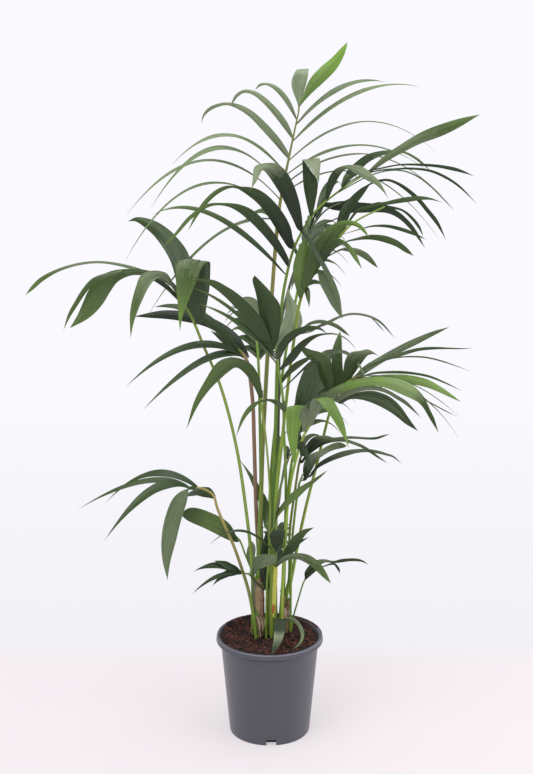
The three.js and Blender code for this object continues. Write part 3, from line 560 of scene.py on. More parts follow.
            (340, 349.5, 340, 353), (350, 353, 349, 356.5), (361, 366, 359.5, 368), (370, 388)],
         ((1.6, 0.2), (2, 0.3), (2, 0.2))),
        (0.68, 1, ((2, 0.2), (2.3, 0.4), (2.4, 0.3), 3), (-28, 20, 60), [
            (350, 382, 353, 384), (362, 368, 366, 373.5), (380, 356.5, 384, 362), (400, 345.5, 403, 351.5),
            (416, 338, 419, 343.5), (434, 331, 436, 334.5), (449.5, 327)]),
        (0.75, 1, ((2.6, 0.4), (2, 0.3), 2.4, 3), (-28, 10, 20, 20), [
            (364, 368.6, 364.6, 370.2), (378, 360.8, 378.8, 363), (392, 355.8, 392.8, 358.9),
            (405, 351.2, 405.8, 354.8), (418, 348, 418.4, 351.2), (432, 346.9, 432, 349.7),
            (447, 347.5, 447, 349.2), (462, 348.2, 462, 349.2), (473, 348)]),
        (0.82, 1, (3, 3, 3.6), (-30, 0, 10), [
            (368, 366.4, 368.4, 367.4), (384, 359.8, 384.4, 361), (400, 356.6, 400, 357.9),
            (416, 356, 416, 357.5), (430, 357.4, 429.6, 358.9), (446, 361.8, 445.6, 363), (470, 371)]),
        (0.9, 1, ((3, 0.3), 2.6, 3), (-32, -60, -80), [
            (358, 377.6, 358.4, 378.8), (372, 372.6, 372.4, 374.6), (388, 371, 388, 373.7),
            (402, 371, 402, 373.8), (416, 372.6, 415.6, 375), (430, 375.6, 429.4, 377.8),
            (446, 382.4, 445.4, 383.8), (462, 391)]),
        (0.45, 1, (1.4, (1.8, 0.1), (1.9, 0.1), 1.6), (-24, -50, -70, -70), [
            (337, 402, 339, 404), (348, 396, 350, 399.5), (360, 392, 361, 400), (372, 391, 372, 403.5),
            (383, 394, 382, 408), (393, 399.5, 391, 413), (401, 407, 398, 418), (408, 417, 406, 424.5),
            (418, 431)]),
        (0.4, 1, ((3, 0.3), (3, 0.5), (3, 0.4), 2.5), (-24, -70, -100, -110), [
            (333, 400, 336, 403), (345, 391.5, 347, 397), (360, 386.8, 361, 391.5),
            (374, 385.8, 374, 390.5), (387, 389.6, 386, 393.4), (398, 395.8, 396.6, 399.4),
            (408, 402.6, 406.4, 405.6), (421, 417.5)]),
        (0.5, 1, (3, 3), (-26, -80, -100), [
            (400, 386, 400.4, 387), (413, 392.6, 412.8, 393.8), (428, 400.8, 427.7, 402),
            (444, 409.6, 443.7, 410.6), (457, 416.5)]),
    ],
    "bright_front": [
        (0.2, -1, (4.6, 4.9, 5.2, 5.5), (-52, -62, -78, -96, -106, -112, -114, -114), [
            (303, 431, 306, 431), (301, 421, 309, 420), (297, 410, 308.5, 410), (288.5, 405.5, 305, 404.5),
            (286.5, 413, 300, 412), (286.5, 430, 299, 428), (289, 444, 297.5, 443), (292, 457, 296, 456),
            (294.5, 466)], ((2.2, 0.3), (2, 0.2))),
        (1, -1, (4.3, 4.7, 5.1, 5.4), (-56, -66, -84, -104, -116, -122), [
            (307, 425, 312, 424), (309, 410, 321, 409), (312.5, 398.5, 331, 396), (319, 401, 335.5, 402.5),
            (326.5, 410, 340, 412), (334, 421, 344.5, 424), (342, 434.5, 347, 437), (349, 448)],
         ((2.2, 0.3), (2, 0.2))),
        (None, 1, ((2.6, 0.4), (2.8, 0.5), (3, 0.4), (4, 0.2), 5.8, (6, 0.2), (6.2, 0.2), (6, 0.4), (6, 0.4),
                   3, 2.4, 3),
         (-46, -50, -80, -120, -150, -165), [
            (307.4, 430, 308.6, 430), (310, 418, 314.5, 420), (314, 406, 322, 409.5),
            (321.5, 397, 330, 402.5), (331, 389.5, 338, 396), (345, 383, 349, 390.5), (360, 379, 362, 387),
            (375, 376.8, 375, 386), (390, 377.8, 388, 389), (402, 380.5, 399, 393.6),
            (412, 385.5, 409, 398), (420, 392.5, 417, 402), (425.5, 400, 422, 406.5),
            (430, 409.5, 425.5, 411.5), (434.5, 419, 431, 421), (438.5, 432.5)]),
        (None, 1, ((3, 0.4), (3, 0.4), 4.8, (6, 0.2), (6.2, 0.3), 5.4), (-60, -50, -60, -80, -90), [
            (334, 393, 335, 395), (346, 384, 347, 388), (360, 378.4, 361, 383), (376, 375.6, 377, 381),
            (392, 374.6, 392, 382), (408, 375.2, 408, 383.8), (426, 379, 425.6, 387.5),
            (441, 387, 440, 392.8), (452, 394.8, 451, 397.8), (461, 402)]),
    ],
    "low_right": [
        (0.2, 1, (1, 1.4, 1.8, (2.2, 0.3), (2.2, 0.3), 2, 3), (5, -20, -50, -70, -76), [
            (299.5, 463.5, 302, 464), (305.5, 454.6, 307.5, 456.6), (312.5, 448, 314.5, 450.8),
            (320, 442.6, 321.5, 446), (328, 440, 329, 443.2), (337, 438.8, 337.5, 441.8),
            (346, 439.3, 345.5, 442.2), (354, 441.6, 353, 444.5), (362, 444.8, 360.8, 447.6),
            (370, 449.6, 368.5, 452), (378, 455.8, 377, 457.6), (388, 463.5)]),
        (0.4, 1, (0.6, 0.8, 1.4, (2.6, 0.5), (2.2, 0.4), (2, 0.2), 2, 2), (4, -40, -60, -70, -72), [
            (301, 455, 307, 456), (307, 444, 315, 448), (314, 437.4, 324, 441.8), (325, 436, 332, 440.6),
            (333, 437.9, 337, 440.3), (341, 437, 343, 439.4), (349, 436.2, 350, 439),
            (358, 436.7, 358.5, 439.1), (368, 437.4, 368, 439.8), (376, 437, 376.5, 439.5),
            (383, 435.2, 383.5, 437), (389.5, 434)]),
        (0.6, 1, ((1.6, 0.3), (3, 0.5), (3, 0.5)), (3, 0, -10), [
            (300, 456, 303, 457), (299.8, 447, 304.5, 448), (302, 440, 308, 441), (307, 435.4, 314, 437),
            (315, 434.3, 320, 437), (326, 438.5)]),
    ],
    "low_right_twin": [
        (0.3, 1, (0.6, 0.8, (1.6, 0.2), (3.2, 0.6), (3.2, 0.2), 3.4), (-14, -40, -70, -85), [
            (303.3, 479, 306, 480.5), (302.8, 471, 309.5, 474.5), (303.8, 464, 313.5, 467.5),
            (307, 457.5, 317.5, 460.5), (313, 454, 323, 456.3), (320, 450.8, 329.5, 452.8),
            (327, 446.5, 335.5, 450.3), (334, 443.6, 341, 448.8), (340.5, 443, 344.5, 447.6), (346.8, 446)]),
        (0.5, 1, (0.5, 0.7, 1, (1.6, 0.2), (2, 0.3), (2, 0.2), 3), (-16, -45, -60, -64, -64), [
            (308, 477, 311, 477), (313.5, 469.5, 317, 469.5), (319, 463, 323, 465.5),
            (327, 457.8, 331, 461.6), (337, 453.2, 340, 458.2), (347, 450.4, 349, 455.3),
            (357, 449.2, 358, 453), (367, 449.2, 367.5, 452.3), (377, 450.4, 377, 453.6),
            (387, 453.4, 386, 455.6), (394, 456.2, 393, 457.6), (401.5, 463.3)]),
    ],
    "slanting": [
        (0.3, 1, (4, 4.2, 4), (-20, 22, 32, 34, 34), [
            (265, 528, 270.5, 526), (262, 515, 270, 512), (258, 501, 267.5, 500), (253, 487, 261, 489),
            (247.5, 474, 254, 477.5), (240, 460)]),
        (0.9, 1, (3.9, 4.6, 4.6, 3.9, 3.2), (-25, -40, -50, -60), [
            (275.3, 514, 275.5, 520.5), (282, 504, 282.5, 511.5), (289, 495.5, 290.5, 504),
            (296, 489.6, 298, 498), (303, 485.2, 305, 491), (311, 480.6, 312, 485), (319, 475.6, 320, 478),
            (328, 470)]),
    ],
    "lowest_right": [
        (0.5, 1, (1.2, 1.6, (2.4, 0.5), 1.6, 1.6, 3), (20, 8, -4, -10), [
            (304.5, 573, 308.5, 576.5), (309, 566, 315, 570.5), (316, 560.5, 321, 565),
            (325, 559.4, 326, 562.6), (333, 561, 333, 563.2), (341, 559.3, 341, 562.6),
            (350, 558.5, 350, 561.4), (358, 558.9, 358.5, 561.6), (364, 561, 363.5, 562.6), (368, 564.6)]),
        (0.3, 1, (1, 1.2, 1.5, 1.5), (20, 4, -8, -12), [
            (305.5, 577, 307.5, 578.5), (312, 571, 316, 571.5), (321, 567, 322, 567.8),
            (328, 564.2, 328.5, 565.6), (333.5, 562.8, 333.5, 565), (337.5, 565.5, 335.8, 567.5),
            (339.8, 569.5, 338.2, 571), (339.8, 573.5)]),
    ],
    "low_left": [
        (0.95, 1, (2.7, 3.9), (-52, -80, -110, -130, -140), [
            (195, 490, 197, 487.5), (183, 491, 190, 488), (172, 500, 186.5, 503), (164.5, 520, 181, 521),
            (161.5, 540, 176, 541), (162.5, 560, 170.5, 561), (167.5, 580)]),
    ],
    "entire_leaf": [
        (0.1, 1, (2, 2.4, 4.2, 4.4, 3, 2), (0, -10, -15, -20), [
            (238, 542.5, 238.5, 540.5), (229, 540.5, 231, 526), (215, 534, 219, 517),
            (200, 527, 204, 510.5), (187, 520.5, 190, 508.5), (180, 514)]),
    ],
    "low_dark": [
        (0.4, 1, (1.4, (2, 0.3), (2.4, 0.4), (2, 0.2), 1.6), (-18, -50, -75, -80), [
            (275, 563, 276, 558.5), (267, 565.5, 268, 554.6), (261.5, 568.5, 258.6, 555.6),
            (256.5, 573, 253, 562), (252, 579)]),
        (0.3, 1, (0, 1), (-12, 0, 10), [
            (264, 590, 268, 590), (260, 572, 268, 570), (260.5, 555, 268, 552), (263, 541, 267.5, 540),
            (267, 530)]),
        (0.2, -1, (3, 3), (-5, 20, 30), [
            (250, 566, 254, 566), (246.5, 556, 255, 557), (248, 546, 255.5, 547), (252, 541)],
         ((2.2, 0.5), (2.2, 0.5))),
    ],
    "low_middle": [
        (0.05, 1, (1.2, (1.5, 0.2), (2, 0.2), 3.5, 4.6), (-24, -60, -80, -90), [
            (275, 564, 277, 567), (284, 556, 286, 561), (297, 553.4, 297, 559.5), (309, 555.3, 306, 563.5),
            (319.5, 563, 315, 569.8), (326.5, 573.3, 323.5, 578), (331, 583.5)]),
        (0.2, 1, (1.8, 3.6), (-24, -40, -55), [
            (281, 558, 285, 559), (286, 547, 296, 551), (294, 536.5, 301.5, 541), (303, 530, 307, 533.5),
            (314, 527.5)]),
        (0.9, -1, (0.6, 0.8, 1, (3, 0.6), (4, 0.7)), (-25, -30, -35, -30, -20), [
            (275, 551.5, 276.5, 551.5), (271, 542, 281, 543), (269.5, 534.5, 284.6, 535.5),
            (274, 531, 285, 531.5), (277.5, 532, 284.5, 534), (280, 534.8)], (0, 0, 0.2)),
    ],
    "soil_leaf": [
        (0.6, 1, (0.5, 0.5, 0.6, 0.4, 0.3, (1.4, 0.6), (1, 0.2), 0.7, 1), (-22, -50, -78, -100, -114), [
            (275, 619.5, 286.7, 619.5), (274.3, 630, 285.4, 630), (273.6, 640, 282.5, 640),
            (272.3, 648, 278, 648), (271.2, 655)]),
        (0.8, 1, ((2.8, 0.3), (3.1, 0.4), (3.6, 0.3), 3.4), (-22, -35, -50, -66, -80), [
            (287, 617.5, 287.5, 620), (294, 618, 293, 622), (300, 623.5, 297.5, 626.5),
            (304, 632, 300.5, 633.5), (303, 640.5, 300, 640.5), (298, 646.5, 296.5, 645.5), (291, 650)]),
    ],
}

# Short stems wrapped in old sheaths. A wrap is (turn, spread in degrees, low, high, tone, stand-off).
STEMS = {
    "left_stem": {
        "foot": (-24, 5), "top": (-24, 8, 350), "radii": (10.5, 8.6), "tones": (5, 4), "fibres": 46,
        "wraps": [
            (275, 110, 0, 0.86, 5, 1.6), (-25, 120, 0.02, 0.95, 6, 2.0), (205, 90, 0.1, 1.0, 9, 2.4),
            (100, 170, 0, 0.8, 5, 1.5),
        ],
    },
    "middle_stem": {
        "foot": (8, 18), "top": (9, 22, 405), "radii": (9, 8.2), "tones": (2, 1), "fibres": 16,
        "wraps": [(260, 210, 0, 0.98, 0, 1.4), (330, 120, 0, 0.4, 8, 1.8), (90, 200, 0, 0.9, 2, 1.3)],
    },
    "right_stem": {
        "foot": (34, 26), "top": (36, 30, 310), "radii": (8.5, 7.6), "tones": (5, 2), "fibres": 22,
        "wraps": [(250, 160, 0, 0.85, 5, 1.6), (-30, 150, 0.1, 1.0, 6, 2.2), (110, 190, 0, 0.9, 5, 1.3)],
    },
}

# Stalk and sheath colours: bright yellow-green, yellow-green, green, olive, tan-olive, tan,
# reddish-brown, dark brown, orange and dull grey-green. The dull grey-green is painted shade on the
# shaded_right frond's stalk and rib.
STALKS = [
    (0.310, 0.450, 0.055),
    (0.260, 0.350, 0.055),
    (0.168, 0.290, 0.034),
    (0.210, 0.215, 0.060),
    (0.360, 0.300, 0.085),
    (0.380, 0.260, 0.150),
    (0.250, 0.150, 0.095),
    (0.070, 0.040, 0.024),
    (0.400, 0.170, 0.030),
    (0.085, 0.110, 0.060),
]

# Sheaths drawn over the photograph: tan, pinkish-brown, pale shreds and orange-brown ones are dry, and
# grey-green, bright yellow and mid green ones live. The near-black dark brown, painted like the dry ones,
# goes only on narrow strips set back between paler ones, as painted shade in the gaps.
SHEATH_COLORS = [
    (0.400, 0.290, 0.150),
    (0.360, 0.200, 0.130),
    (0.600, 0.440, 0.310),
    (0.060, 0.026, 0.015),
    (0.420, 0.150, 0.030),
    (0.130, 0.150, 0.080),
    (0.480, 0.500, 0.080),
    (0.100, 0.200, 0.030),
]
DRY_SHEATHS = 5
# Each is (colour, depths in mm, bulge towards the eye, its two edges at stations from its top down, as
# u, v, u, v in the photograph's frame).
SHEATHS = {
    "left_stem": [
        (5, (-6, -8), 1.5, [
            (252.6, 577, 256, 577), (252.4, 590, 255.6, 590), (252.8, 602, 255.4, 602),
            (253.5, 611, 255.2, 611)]),
        (0, (-6, -9), 2, [
            (256, 580, 260, 578), (255, 588, 261, 587), (255.2, 600, 261, 600), (255.6, 610, 260.4, 612),
            (256.6, 617, 259, 616)]),
        (1, (-5, -9), 2, [
            (260.6, 584, 263.4, 586), (260.4, 595, 264.2, 596), (260, 608, 264, 608),
            (259.6, 620, 263.8, 620), (259, 628, 262.6, 628), (260, 636, 261.4, 636)]),
        (7, (-10, -10), 1, [
            (255.2, 610.5, 257, 611), (255.4, 614.5, 259, 614), (257.6, 618, 260, 617)]),
        (2, (-10, -15), 1, [
            (255.2, 615.5, 256.6, 615), (256.8, 620, 259.2, 619), (258.2, 624, 260.6, 623.5),
            (258.8, 628, 260.8, 628), (259.6, 633, 260.8, 632)]),
        (0, (-11, -15), 0.8, [
            (258.6, 617, 261, 616.4), (260.4, 621, 263, 620), (261.6, 626, 263.4, 625.4),
            (261.8, 631, 263, 631)]),
        (3, (-11, -14), 0.4, [
            (260.4, 619, 261.2, 618.6), (260.6, 626, 262, 625.4), (260.8, 634, 261.6, 634)]),
        (2, (-9, -13), 0.8, [
            (262.4, 617.6, 264, 617), (263.8, 621, 265.4, 620.6), (263.2, 626, 264.8, 626),
            (262, 632, 263, 632)]),
        (2, (-13, -17), 0.6, [
            (257, 617, 258, 616.6), (258.6, 624, 259.6, 623), (260.4, 637, 261.2, 636)]),
        (3, (-9, -9), 0.5, [
            (263.4, 597, 264.6, 597), (263.2, 612, 264.4, 612), (262.6, 622, 263.6, 622)]),
    ],
    "low_middle": [
        (6, (-25, -22), 2, [
            (273.4, 566, 277.6, 566), (272.8, 580, 277.4, 580), (272.2, 595, 276.6, 595),
            (271.8, 608, 275.6, 608), (272.4, 617, 274.6, 617)]),
        (4, (-26, -25), 1, [
            (272.6, 604, 275.4, 605.5), (271.8, 608, 275, 609), (272, 613, 273.6, 613)]),
    ],
    "right_stem": [
        (1, (14, 12), 1.2, [
            (279.6, 590.5, 280.4, 590), (281.4, 593.5, 283.4, 592.5), (282.4, 599, 285, 598),
            (281.6, 606, 284, 606), (281.6, 612, 283.2, 612)]),
        (3, (16, 14), 0.6, [
            (280.4, 598, 282, 597), (280.6, 607, 282.2, 607), (281.4, 616, 282.8, 616)]),
        (2, (12, 10), 1.6, [
            (283.6, 608, 285.6, 607.6), (282.6, 613, 287, 612), (282.8, 618, 286.8, 618),
            (283.6, 622, 285.6, 622)]),
        (3, (11, 9), 0.4, [
            (285, 611, 286, 611), (284.6, 616, 285.8, 616), (285, 619, 285.6, 619)]),
    ],
    "upper_right": [
        (7, (31, 31), 2.5, [
            (278.2, 436, 281.2, 436), (276.8, 450, 281.6, 450), (273.6, 465, 280.4, 465),
            (271.2, 480, 279.2, 480), (270.2, 492, 277.8, 492), (271, 505, 276.4, 505),
            (271.6, 520, 274.6, 520), (271.8, 535, 273.6, 535)]),
    ],
}

# Scurfy specks on stalks, stains on dry sheaths and scuffs on the pot.
SPECK = (0.09, 0.065, 0.03)
STAIN = (0.07, 0.045, 0.025)
SCUFF = (0.16, 0.16, 0.18)

# Potting mix: near-black, dark brown, red-brown, orange-brown, straw and white grains.
MIX = [
    (0.012, 0.007, 0.007),
    (0.032, 0.013, 0.011),
    (0.090, 0.026, 0.019),
    (0.215, 0.068, 0.040),
    (0.240, 0.105, 0.065),
    (0.620, 0.580, 0.540),
]
# How many chips, their length, width and thickness, and the mixes that they take.
CHIPS = [
    (2600, (2.0, 5.0), (1.2, 3.2), (0.8, 2.0), (0, 1, 1, 2)),
    (700, (5.0, 11.0), (2.0, 4.0), (1.0, 2.4), (1, 1, 2, 2, 3)),
    (320, (8.0, 17.0), (1.4, 3.2), (0.9, 2.0), (2, 2, 3)),
    (5200, (0.9, 2.4), (0.8, 1.8), (0.6, 1.4), (0, 0, 1, 2, 2, 3)),
    (9, (1.5, 3.0), (1.4, 2.6), (1.0, 2.0), (5,)),
]

# A pale floor that gives off a share of its own light and gives way to the backdrop between two depths,
# in metres, under a sky that fades from the horizon up.
FLOOR = {
    "size": 1000, "color": (0.77, 0.715, 0.735), "stain": (0.82, 0.785, 0.795),
    "backdrop": (0.955, 0.950, 1.0), "horizon": 1.0, "sky": 0.5,
    "lit": (0.88, 0.83, 0.86), "share": 0.6, "ends": (0.36, 0.48),
}
# Soft lamps: name, place, aim (metres), width (metres) and power (watts).
LAMPS = [
    ("key", (-1.4, -1.8, 3.4), (0, 0, 0.8), 3.0, 72),
    ("fill", (2.4, -1.4, 2.2), (0, 0, 0.7), 2.4, 30),
    ("top", (0.1, 0.2, 3.5), (0, 0, 0.9), 3.0, 58),
    ("side", (2.3, 0.9, 0.8), (0, 0, 0.15), 1.2, 12),
]

CAMERA = {
    "place": (-7.1, -3126, 1612), "pitch": 14.52, "focal_px": 1500, "image_px": 774, "centre": (266.5, 387),
}

UP = np.array((0.0, 0.0, 1.0))


def unit(v):
    return v / np.maximum(np.linalg.norm(v, axis=-1, keepdims=True), 1e-9)


def ease(x):
    x = np.clip(x, 0, 1)
    return x * x * (3 - 2 * x)


def to_metres(points):
    return np.asarray(points, float) * MM


class Curve:
    """A centripetal Catmull-Rom curve through points, read by share of its length."""

    FINE = 60

    def __init__(self, points, even=False):
        p = np.array(points, float)
        padded = np.vstack([2 * p[0] - p[1], p, 2 * p[-1] - p[-2]])
        t = np.linspace(0, 1, self.FINE, endpoint=False)[:, None]
        stretches = []
        for x0, x1, x2, x3 in zip(padded, padded[1:], padded[2:], padded[3:]):
            d0, d1, d2 = [np.sqrt(np.linalg.norm(b - a)) for a, b in ((x0, x1), (x1, x2), (x2, x3))]
            if even:
                d0 = d1 = d2 = 1
            t1 = ((x1 - x0) / d0 - (x2 - x0) / (d0 + d1) + (x2 - x1) / d1) * d1
            t2 = ((x2 - x1) / d1 - (x3 - x1) / (d1 + d2) + (x3 - x2) / d2) * d1
            square = 3 * (x2 - x1) - 2 * t1 - t2
            cube = 2 * (x1 - x2) + t1 + t2
            stretches.append(x1 + t1 * t + square * t**2 + cube * t**3)
        self.points = np.vstack(stretches + [p[-1:]])
        self.lengths = stretch_length(self.points)
        self.length = self.lengths[-1]

    def at(self, share):
        s = np.asarray(share) * self.length
        return np.stack([np.interp(s, self.lengths, self.points[:, k]) for k in range(3)], -1)

    def share_of(self, number):
        """The share of the length at which the point with this number lies."""
        return self.lengths[self.FINE * number] / self.length


def ring_quads(rings, sides):
    """Faces between rings of points, closed at both ends by two more points that come after them."""
    index = np.arange(rings * sides).reshape(rings, sides)
    after = np.roll(index, -1, 1)
    quads = np.stack([index[:-1], after[:-1], after[1:], index[1:]], -1).reshape(-1, 4)
    first, last = np.full(sides, index.size), np.full(sides, index.size + 1)
    foot = np.stack([after[0], index[0], first, first], -1)
    top = np.stack([index[-1], after[-1], last, last], -1)
    return np.vstack([quads, foot, top])


def stretch_length(points):
    """The length along a line of points up to each of them."""
    return np.concatenate([[0], np.cumsum(np.linalg.norm(np.diff(points, axis=0), axis=1))])


class Maker:
    """Gathers closed surfaces for one mesh: points, faces, a material for each face, and a map."""

    def __init__(self):
        self.points, self.maps, self.quads, self.slots = [], [], [], []
        self.count = 0

    def add(self, points, quads, slots, maps=None):
        """A closed surface of quads, turned to face outwards. A triangle's last corner repeats."""
        points = np.asarray(points, float).reshape(-1, 3)
        quads = np.asarray(quads, int)
        a, b, c, d = (points[quads[:, k]] for k in range(4))
        volume = np.einsum("ij,ij->", a, np.cross(b, c)) + np.einsum("ij,ij->", a, np.cross(c, d))
        if volume < 0:
            quads = quads[:, ::-1]
            flat = quads[:, 0] == quads[:, 1]
            quads[flat] = quads[flat][:, [1, 2, 3, 3]]
        self.points.append(points)
        maps = np.zeros((len(points), 2)) if maps is None else np.asarray(maps, float).reshape(-1, 2)
        self.maps.append(maps)
        self.quads.append(quads + self.count)
        self.slots.append(np.broadcast_to(np.asarray(slots, int), (len(quads),)))
        self.count += len(points)

    def shell(self, top, bottom, top_slots, bottom_slots, edge_slots, across, along):
        """A thin closed blade between two grids of points, rows along it and columns across it."""
        rows, columns = top.shape[:2]
        index = np.arange(rows * columns).reshape(rows, columns)
        under = index + rows * columns

        def strip(g):
            return np.stack([g[:-1, :-1], g[:-1, 1:], g[1:, 1:], g[1:, :-1]], -1).reshape(-1, 4)

        sides = [
            strip(np.stack([under[:, 0], index[:, 0]], 1)),
            strip(np.stack([index[:, -1], under[:, -1]], 1)),
            strip(np.stack([index[0], under[0]], 1)),
            strip(np.stack([under[-1], index[-1]], 1)),
        ]
        quads = np.vstack([strip(index), strip(under)[:, ::-1], *sides])
        slots = np.concatenate([
            np.broadcast_to(top_slots, (rows - 1, columns - 1)).ravel(),
            np.broadcast_to(bottom_slots, (rows - 1, columns - 1)).ravel(),
            np.broadcast_to(edge_slots, (rows - 1,)),
            np.broadcast_to(edge_slots, (rows - 1,)),
            np.full(2 * (columns - 1), np.asarray(edge_slots).ravel()[0]),
        ])
        grid = np.stack(np.broadcast_arrays(across[None, :], along[:, None]), -1)
        self.add(np.stack([top, bottom]), quads, slots, np.stack([grid, grid]))

    def tube(self, centres, radii, sides, slots=0, section=None, front=(0, -1, 0)):
        """A round limb through centres. slots is one material or one for each (stretch, side)."""
        centres = np.asarray(centres, float)
        along = unit(np.gradient(centres, axis=0))
        right = unit(np.cross(np.asarray(front, float), along))
        ahead = np.cross(along, right)
        angle = np.linspace(0, 2 * np.pi, sides, endpoint=False)
        reach = np.broadcast_to(radii, (len(centres),))[:, None] * (1 if section is None else section(angle))
        ring = right[:, None] * np.cos(angle)[None, :, None] + ahead[:, None] * np.sin(angle)[None, :, None]
        points = centres[:, None] + ring * np.broadcast_to(reach, (len(centres), sides))[..., None]
        length = stretch_length(centres)
        around = np.broadcast_to(angle / (2 * np.pi), points.shape[:2])
        maps = np.stack([around, np.broadcast_to(length[:, None], points.shape[:2])], -1).reshape(-1, 2)
        maps = np.vstack([maps, [[0.5, 0], [0.5, length[-1]]]])
        points = np.vstack([points.reshape(-1, 3), centres[:1], centres[-1:]])
        body = np.broadcast_to(slots, (len(centres) - 1, sides))
        slots = np.concatenate([body.ravel(), body[0], body[-1]])
        self.add(points, ring_quads(len(centres), sides), slots, maps)

    def mesh(self, name, materials, crease=50):
        """One object of all that was added, with only the materials that its faces use."""
        points = np.vstack(self.points)
        quads = np.vstack(self.quads)
        slots = np.concatenate(self.slots)
        used, slots = np.unique(slots, return_inverse=True)
        four = quads[:, 2] != quads[:, 3]
        order = np.concatenate([np.flatnonzero(four), np.flatnonzero(~four)])
        corners = np.concatenate([quads[four].ravel(), quads[~four][:, :3].ravel()])
        sizes = np.where(four[order], 4, 3)
        mesh = bpy.data.meshes.new(name)
        mesh.vertices.add(len(points))
        mesh.vertices.foreach_set("co", to_metres(points).astype(np.float32).ravel())
        mesh.loops.add(len(corners))
        mesh.loops.foreach_set("vertex_index", corners.astype(np.int32))
        mesh.polygons.add(len(sizes))
        starts = np.concatenate([[0], np.cumsum(sizes)[:-1]])
        mesh.polygons.foreach_set("loop_start", starts.astype(np.int32))
        mesh.polygons.foreach_set("material_index", slots[order].astype(np.int32))
        layer = mesh.uv_layers.new(name="Along")
        layer.uv.foreach_set("vector", np.vstack(self.maps)[corners].astype(np.float32).ravel())
        mesh.update(calc_edges=True)
        mesh.validate()
        mesh.shade_smooth()
        mesh.set_sharp_from_angle(angle=math.radians(crease))
        for k in used:
            mesh.materials.append(materials[k])
        made = bpy.data.objects.new(name, mesh)
        bpy.context.scene.collection.objects.link(made)
        return made


def piece(made, slot, *nodes):
    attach(made, BODY)
    if nodes:
        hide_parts(*nodes)
    return made


def set_range(node, *numbers):
    """Sets what a Map Range node maps from and to."""
    for key, number in zip(("From Min", "From Max", "To Min", "To Max"), numbers):
        node.inputs[key].default_value = number


class Paint:
    """A node material: a principled shader whose colour, roughness and relief come from patterns."""

    def __init__(self, name, color, roughness, **plain):
        self.material = bpy.data.materials.new(name)
        self.material.use_nodes = True
        self.nodes = self.material.node_tree.nodes
        self.links = self.material.node_tree.links
        self.shader = self.nodes["Principled BSDF"]
        self.color = (*color, 1)
        self.shader.inputs["Base Color"].default_value = self.color
        self.shader.inputs["Roughness"].default_value = roughness
        for socket, value in plain.items():
            self.shader.inputs[socket.replace("_", " ")].default_value = value
        self.material.diffuse_color = self.color

    def node(self, kind, **values):
        made = self.nodes.new("ShaderNode" + kind)
        for key, value in values.items():
            if key in made.inputs:
                made.inputs[key].default_value = value
            else:
                setattr(made, key, value)
        return made

    def stretched(self, source, stretch):
        scale = self.node("VectorMath", operation="MULTIPLY")
        scale.inputs[1].default_value = stretch
        self.links.new(source, scale.inputs[0])
        return scale.outputs[0]

    def place(self, stretch=(1, 1, 1)):
        """The object's own coordinates, in metres."""
        return self.stretched(self.node("TexCoord").outputs["Object"], stretch)

    def map(self, stretch):
        """The mesh's map: across and along a blade."""
        return self.stretched(self.node("UVMap", uv_map="Along").outputs["UV"], stretch)

    def noise(self, scale, detail=3, vector=None, roughness=0.55):
        made = self.node("TexNoise", Scale=scale, Detail=detail, Roughness=roughness)
        self.links.new(self.place() if vector is None else vector, made.inputs["Vector"])
        return made.outputs["Fac"]

    def span(self, value, low, high, from_low=0.3, from_high=0.7):
        made = self.node("MapRange")
        set_range(made, from_low, from_high, low, high)
        self.links.new(value, made.inputs["Value"])
        return made.outputs["Result"]

    def tint(self, fac, other, over=None):
        """Mixes the colour so far with another one by a pattern."""
        made = self.node("Mix", data_type="RGBA")
        made.inputs["A"].default_value = self.color
        if over is not None:
            self.links.new(over, made.inputs["A"])
        made.inputs["B"].default_value = (*other, 1)
        self.links.new(fac, made.inputs["Factor"])
        result = made.outputs["Result"]
        self.links.new(result, self.shader.inputs["Base Color"])
        return result

    def relief(self, height, strength, distance):
        made = self.node("Bump", Strength=strength, Distance=distance)
        self.links.new(height, made.inputs["Height"])
        self.links.new(made.outputs["Normal"], self.shader.inputs["Normal"])

    def rough(self, value):
        self.links.new(value, self.shader.inputs["Roughness"])


def scaled(color, amount):
    return tuple(min(1.0, c * amount) for c in color)


def leaf_paint(name, color, roughness, veins=0.2):
    """A living blade: fine veins that run its length, soft blotches and a waxy sheen."""
    paint = Paint(name, color, roughness, Specular_IOR_Level=0.34)
    lines = paint.noise(1.0, 1, paint.map((6, 0.15, 1)))
    cloud = paint.noise(14, 1)
    once = paint.tint(paint.span(lines, 0, veins), scaled(color, 0.6))
    paint.tint(paint.span(cloud, 0, 0.3), scaled(color, 1.25), once)
    paint.rough(paint.span(cloud, roughness - 0.04, roughness + 0.04))
    paint.relief(cloud, 0.1, 0.0005)
    return paint.material


def stalk_paint(name, color, roughness=0.42):
    """A smooth stalk: long faint streaks and small scurfy specks."""
    paint = Paint(name, color, roughness, Specular_IOR_Level=0.35)
    streaks = paint.noise(1.0, 3, paint.map((9, 14, 1)))
    specks = paint.noise(420, 2)
    once = paint.tint(paint.span(streaks, 0, 0.4), scaled(color, 0.55))
    paint.tint(paint.span(specks, 0, 0.35, 0.58, 0.72), SPECK, once)
    paint.relief(streaks, 0.2, 0.0004)
    return paint.material


def dry_paint(name, color):
    """A dry papery sheath: coarse fibres that run up it, stained in patches."""
    paint = Paint(name, color, 0.78)
    fibres = paint.noise(1.0, 4, paint.map((60, 22, 1)), 0.7)
    stains = paint.noise(55, 4)
    once = paint.tint(paint.span(fibres, 0, 0.75), scaled(color, 0.4))
    paint.tint(paint.span(stains, 0, 0.6, 0.45, 0.7), STAIN, once)
    paint.relief(fibres, 0.5, 0.0008)
    return paint.material


def crumb_paint(name, color):
    paint = Paint(name, color, 0.9)
    grain = paint.noise(500, 3)
    paint.tint(paint.span(grain, 0, 0.6), scaled(color, 0.45))
    paint.relief(grain, 0.6, 0.001)
    return paint.material


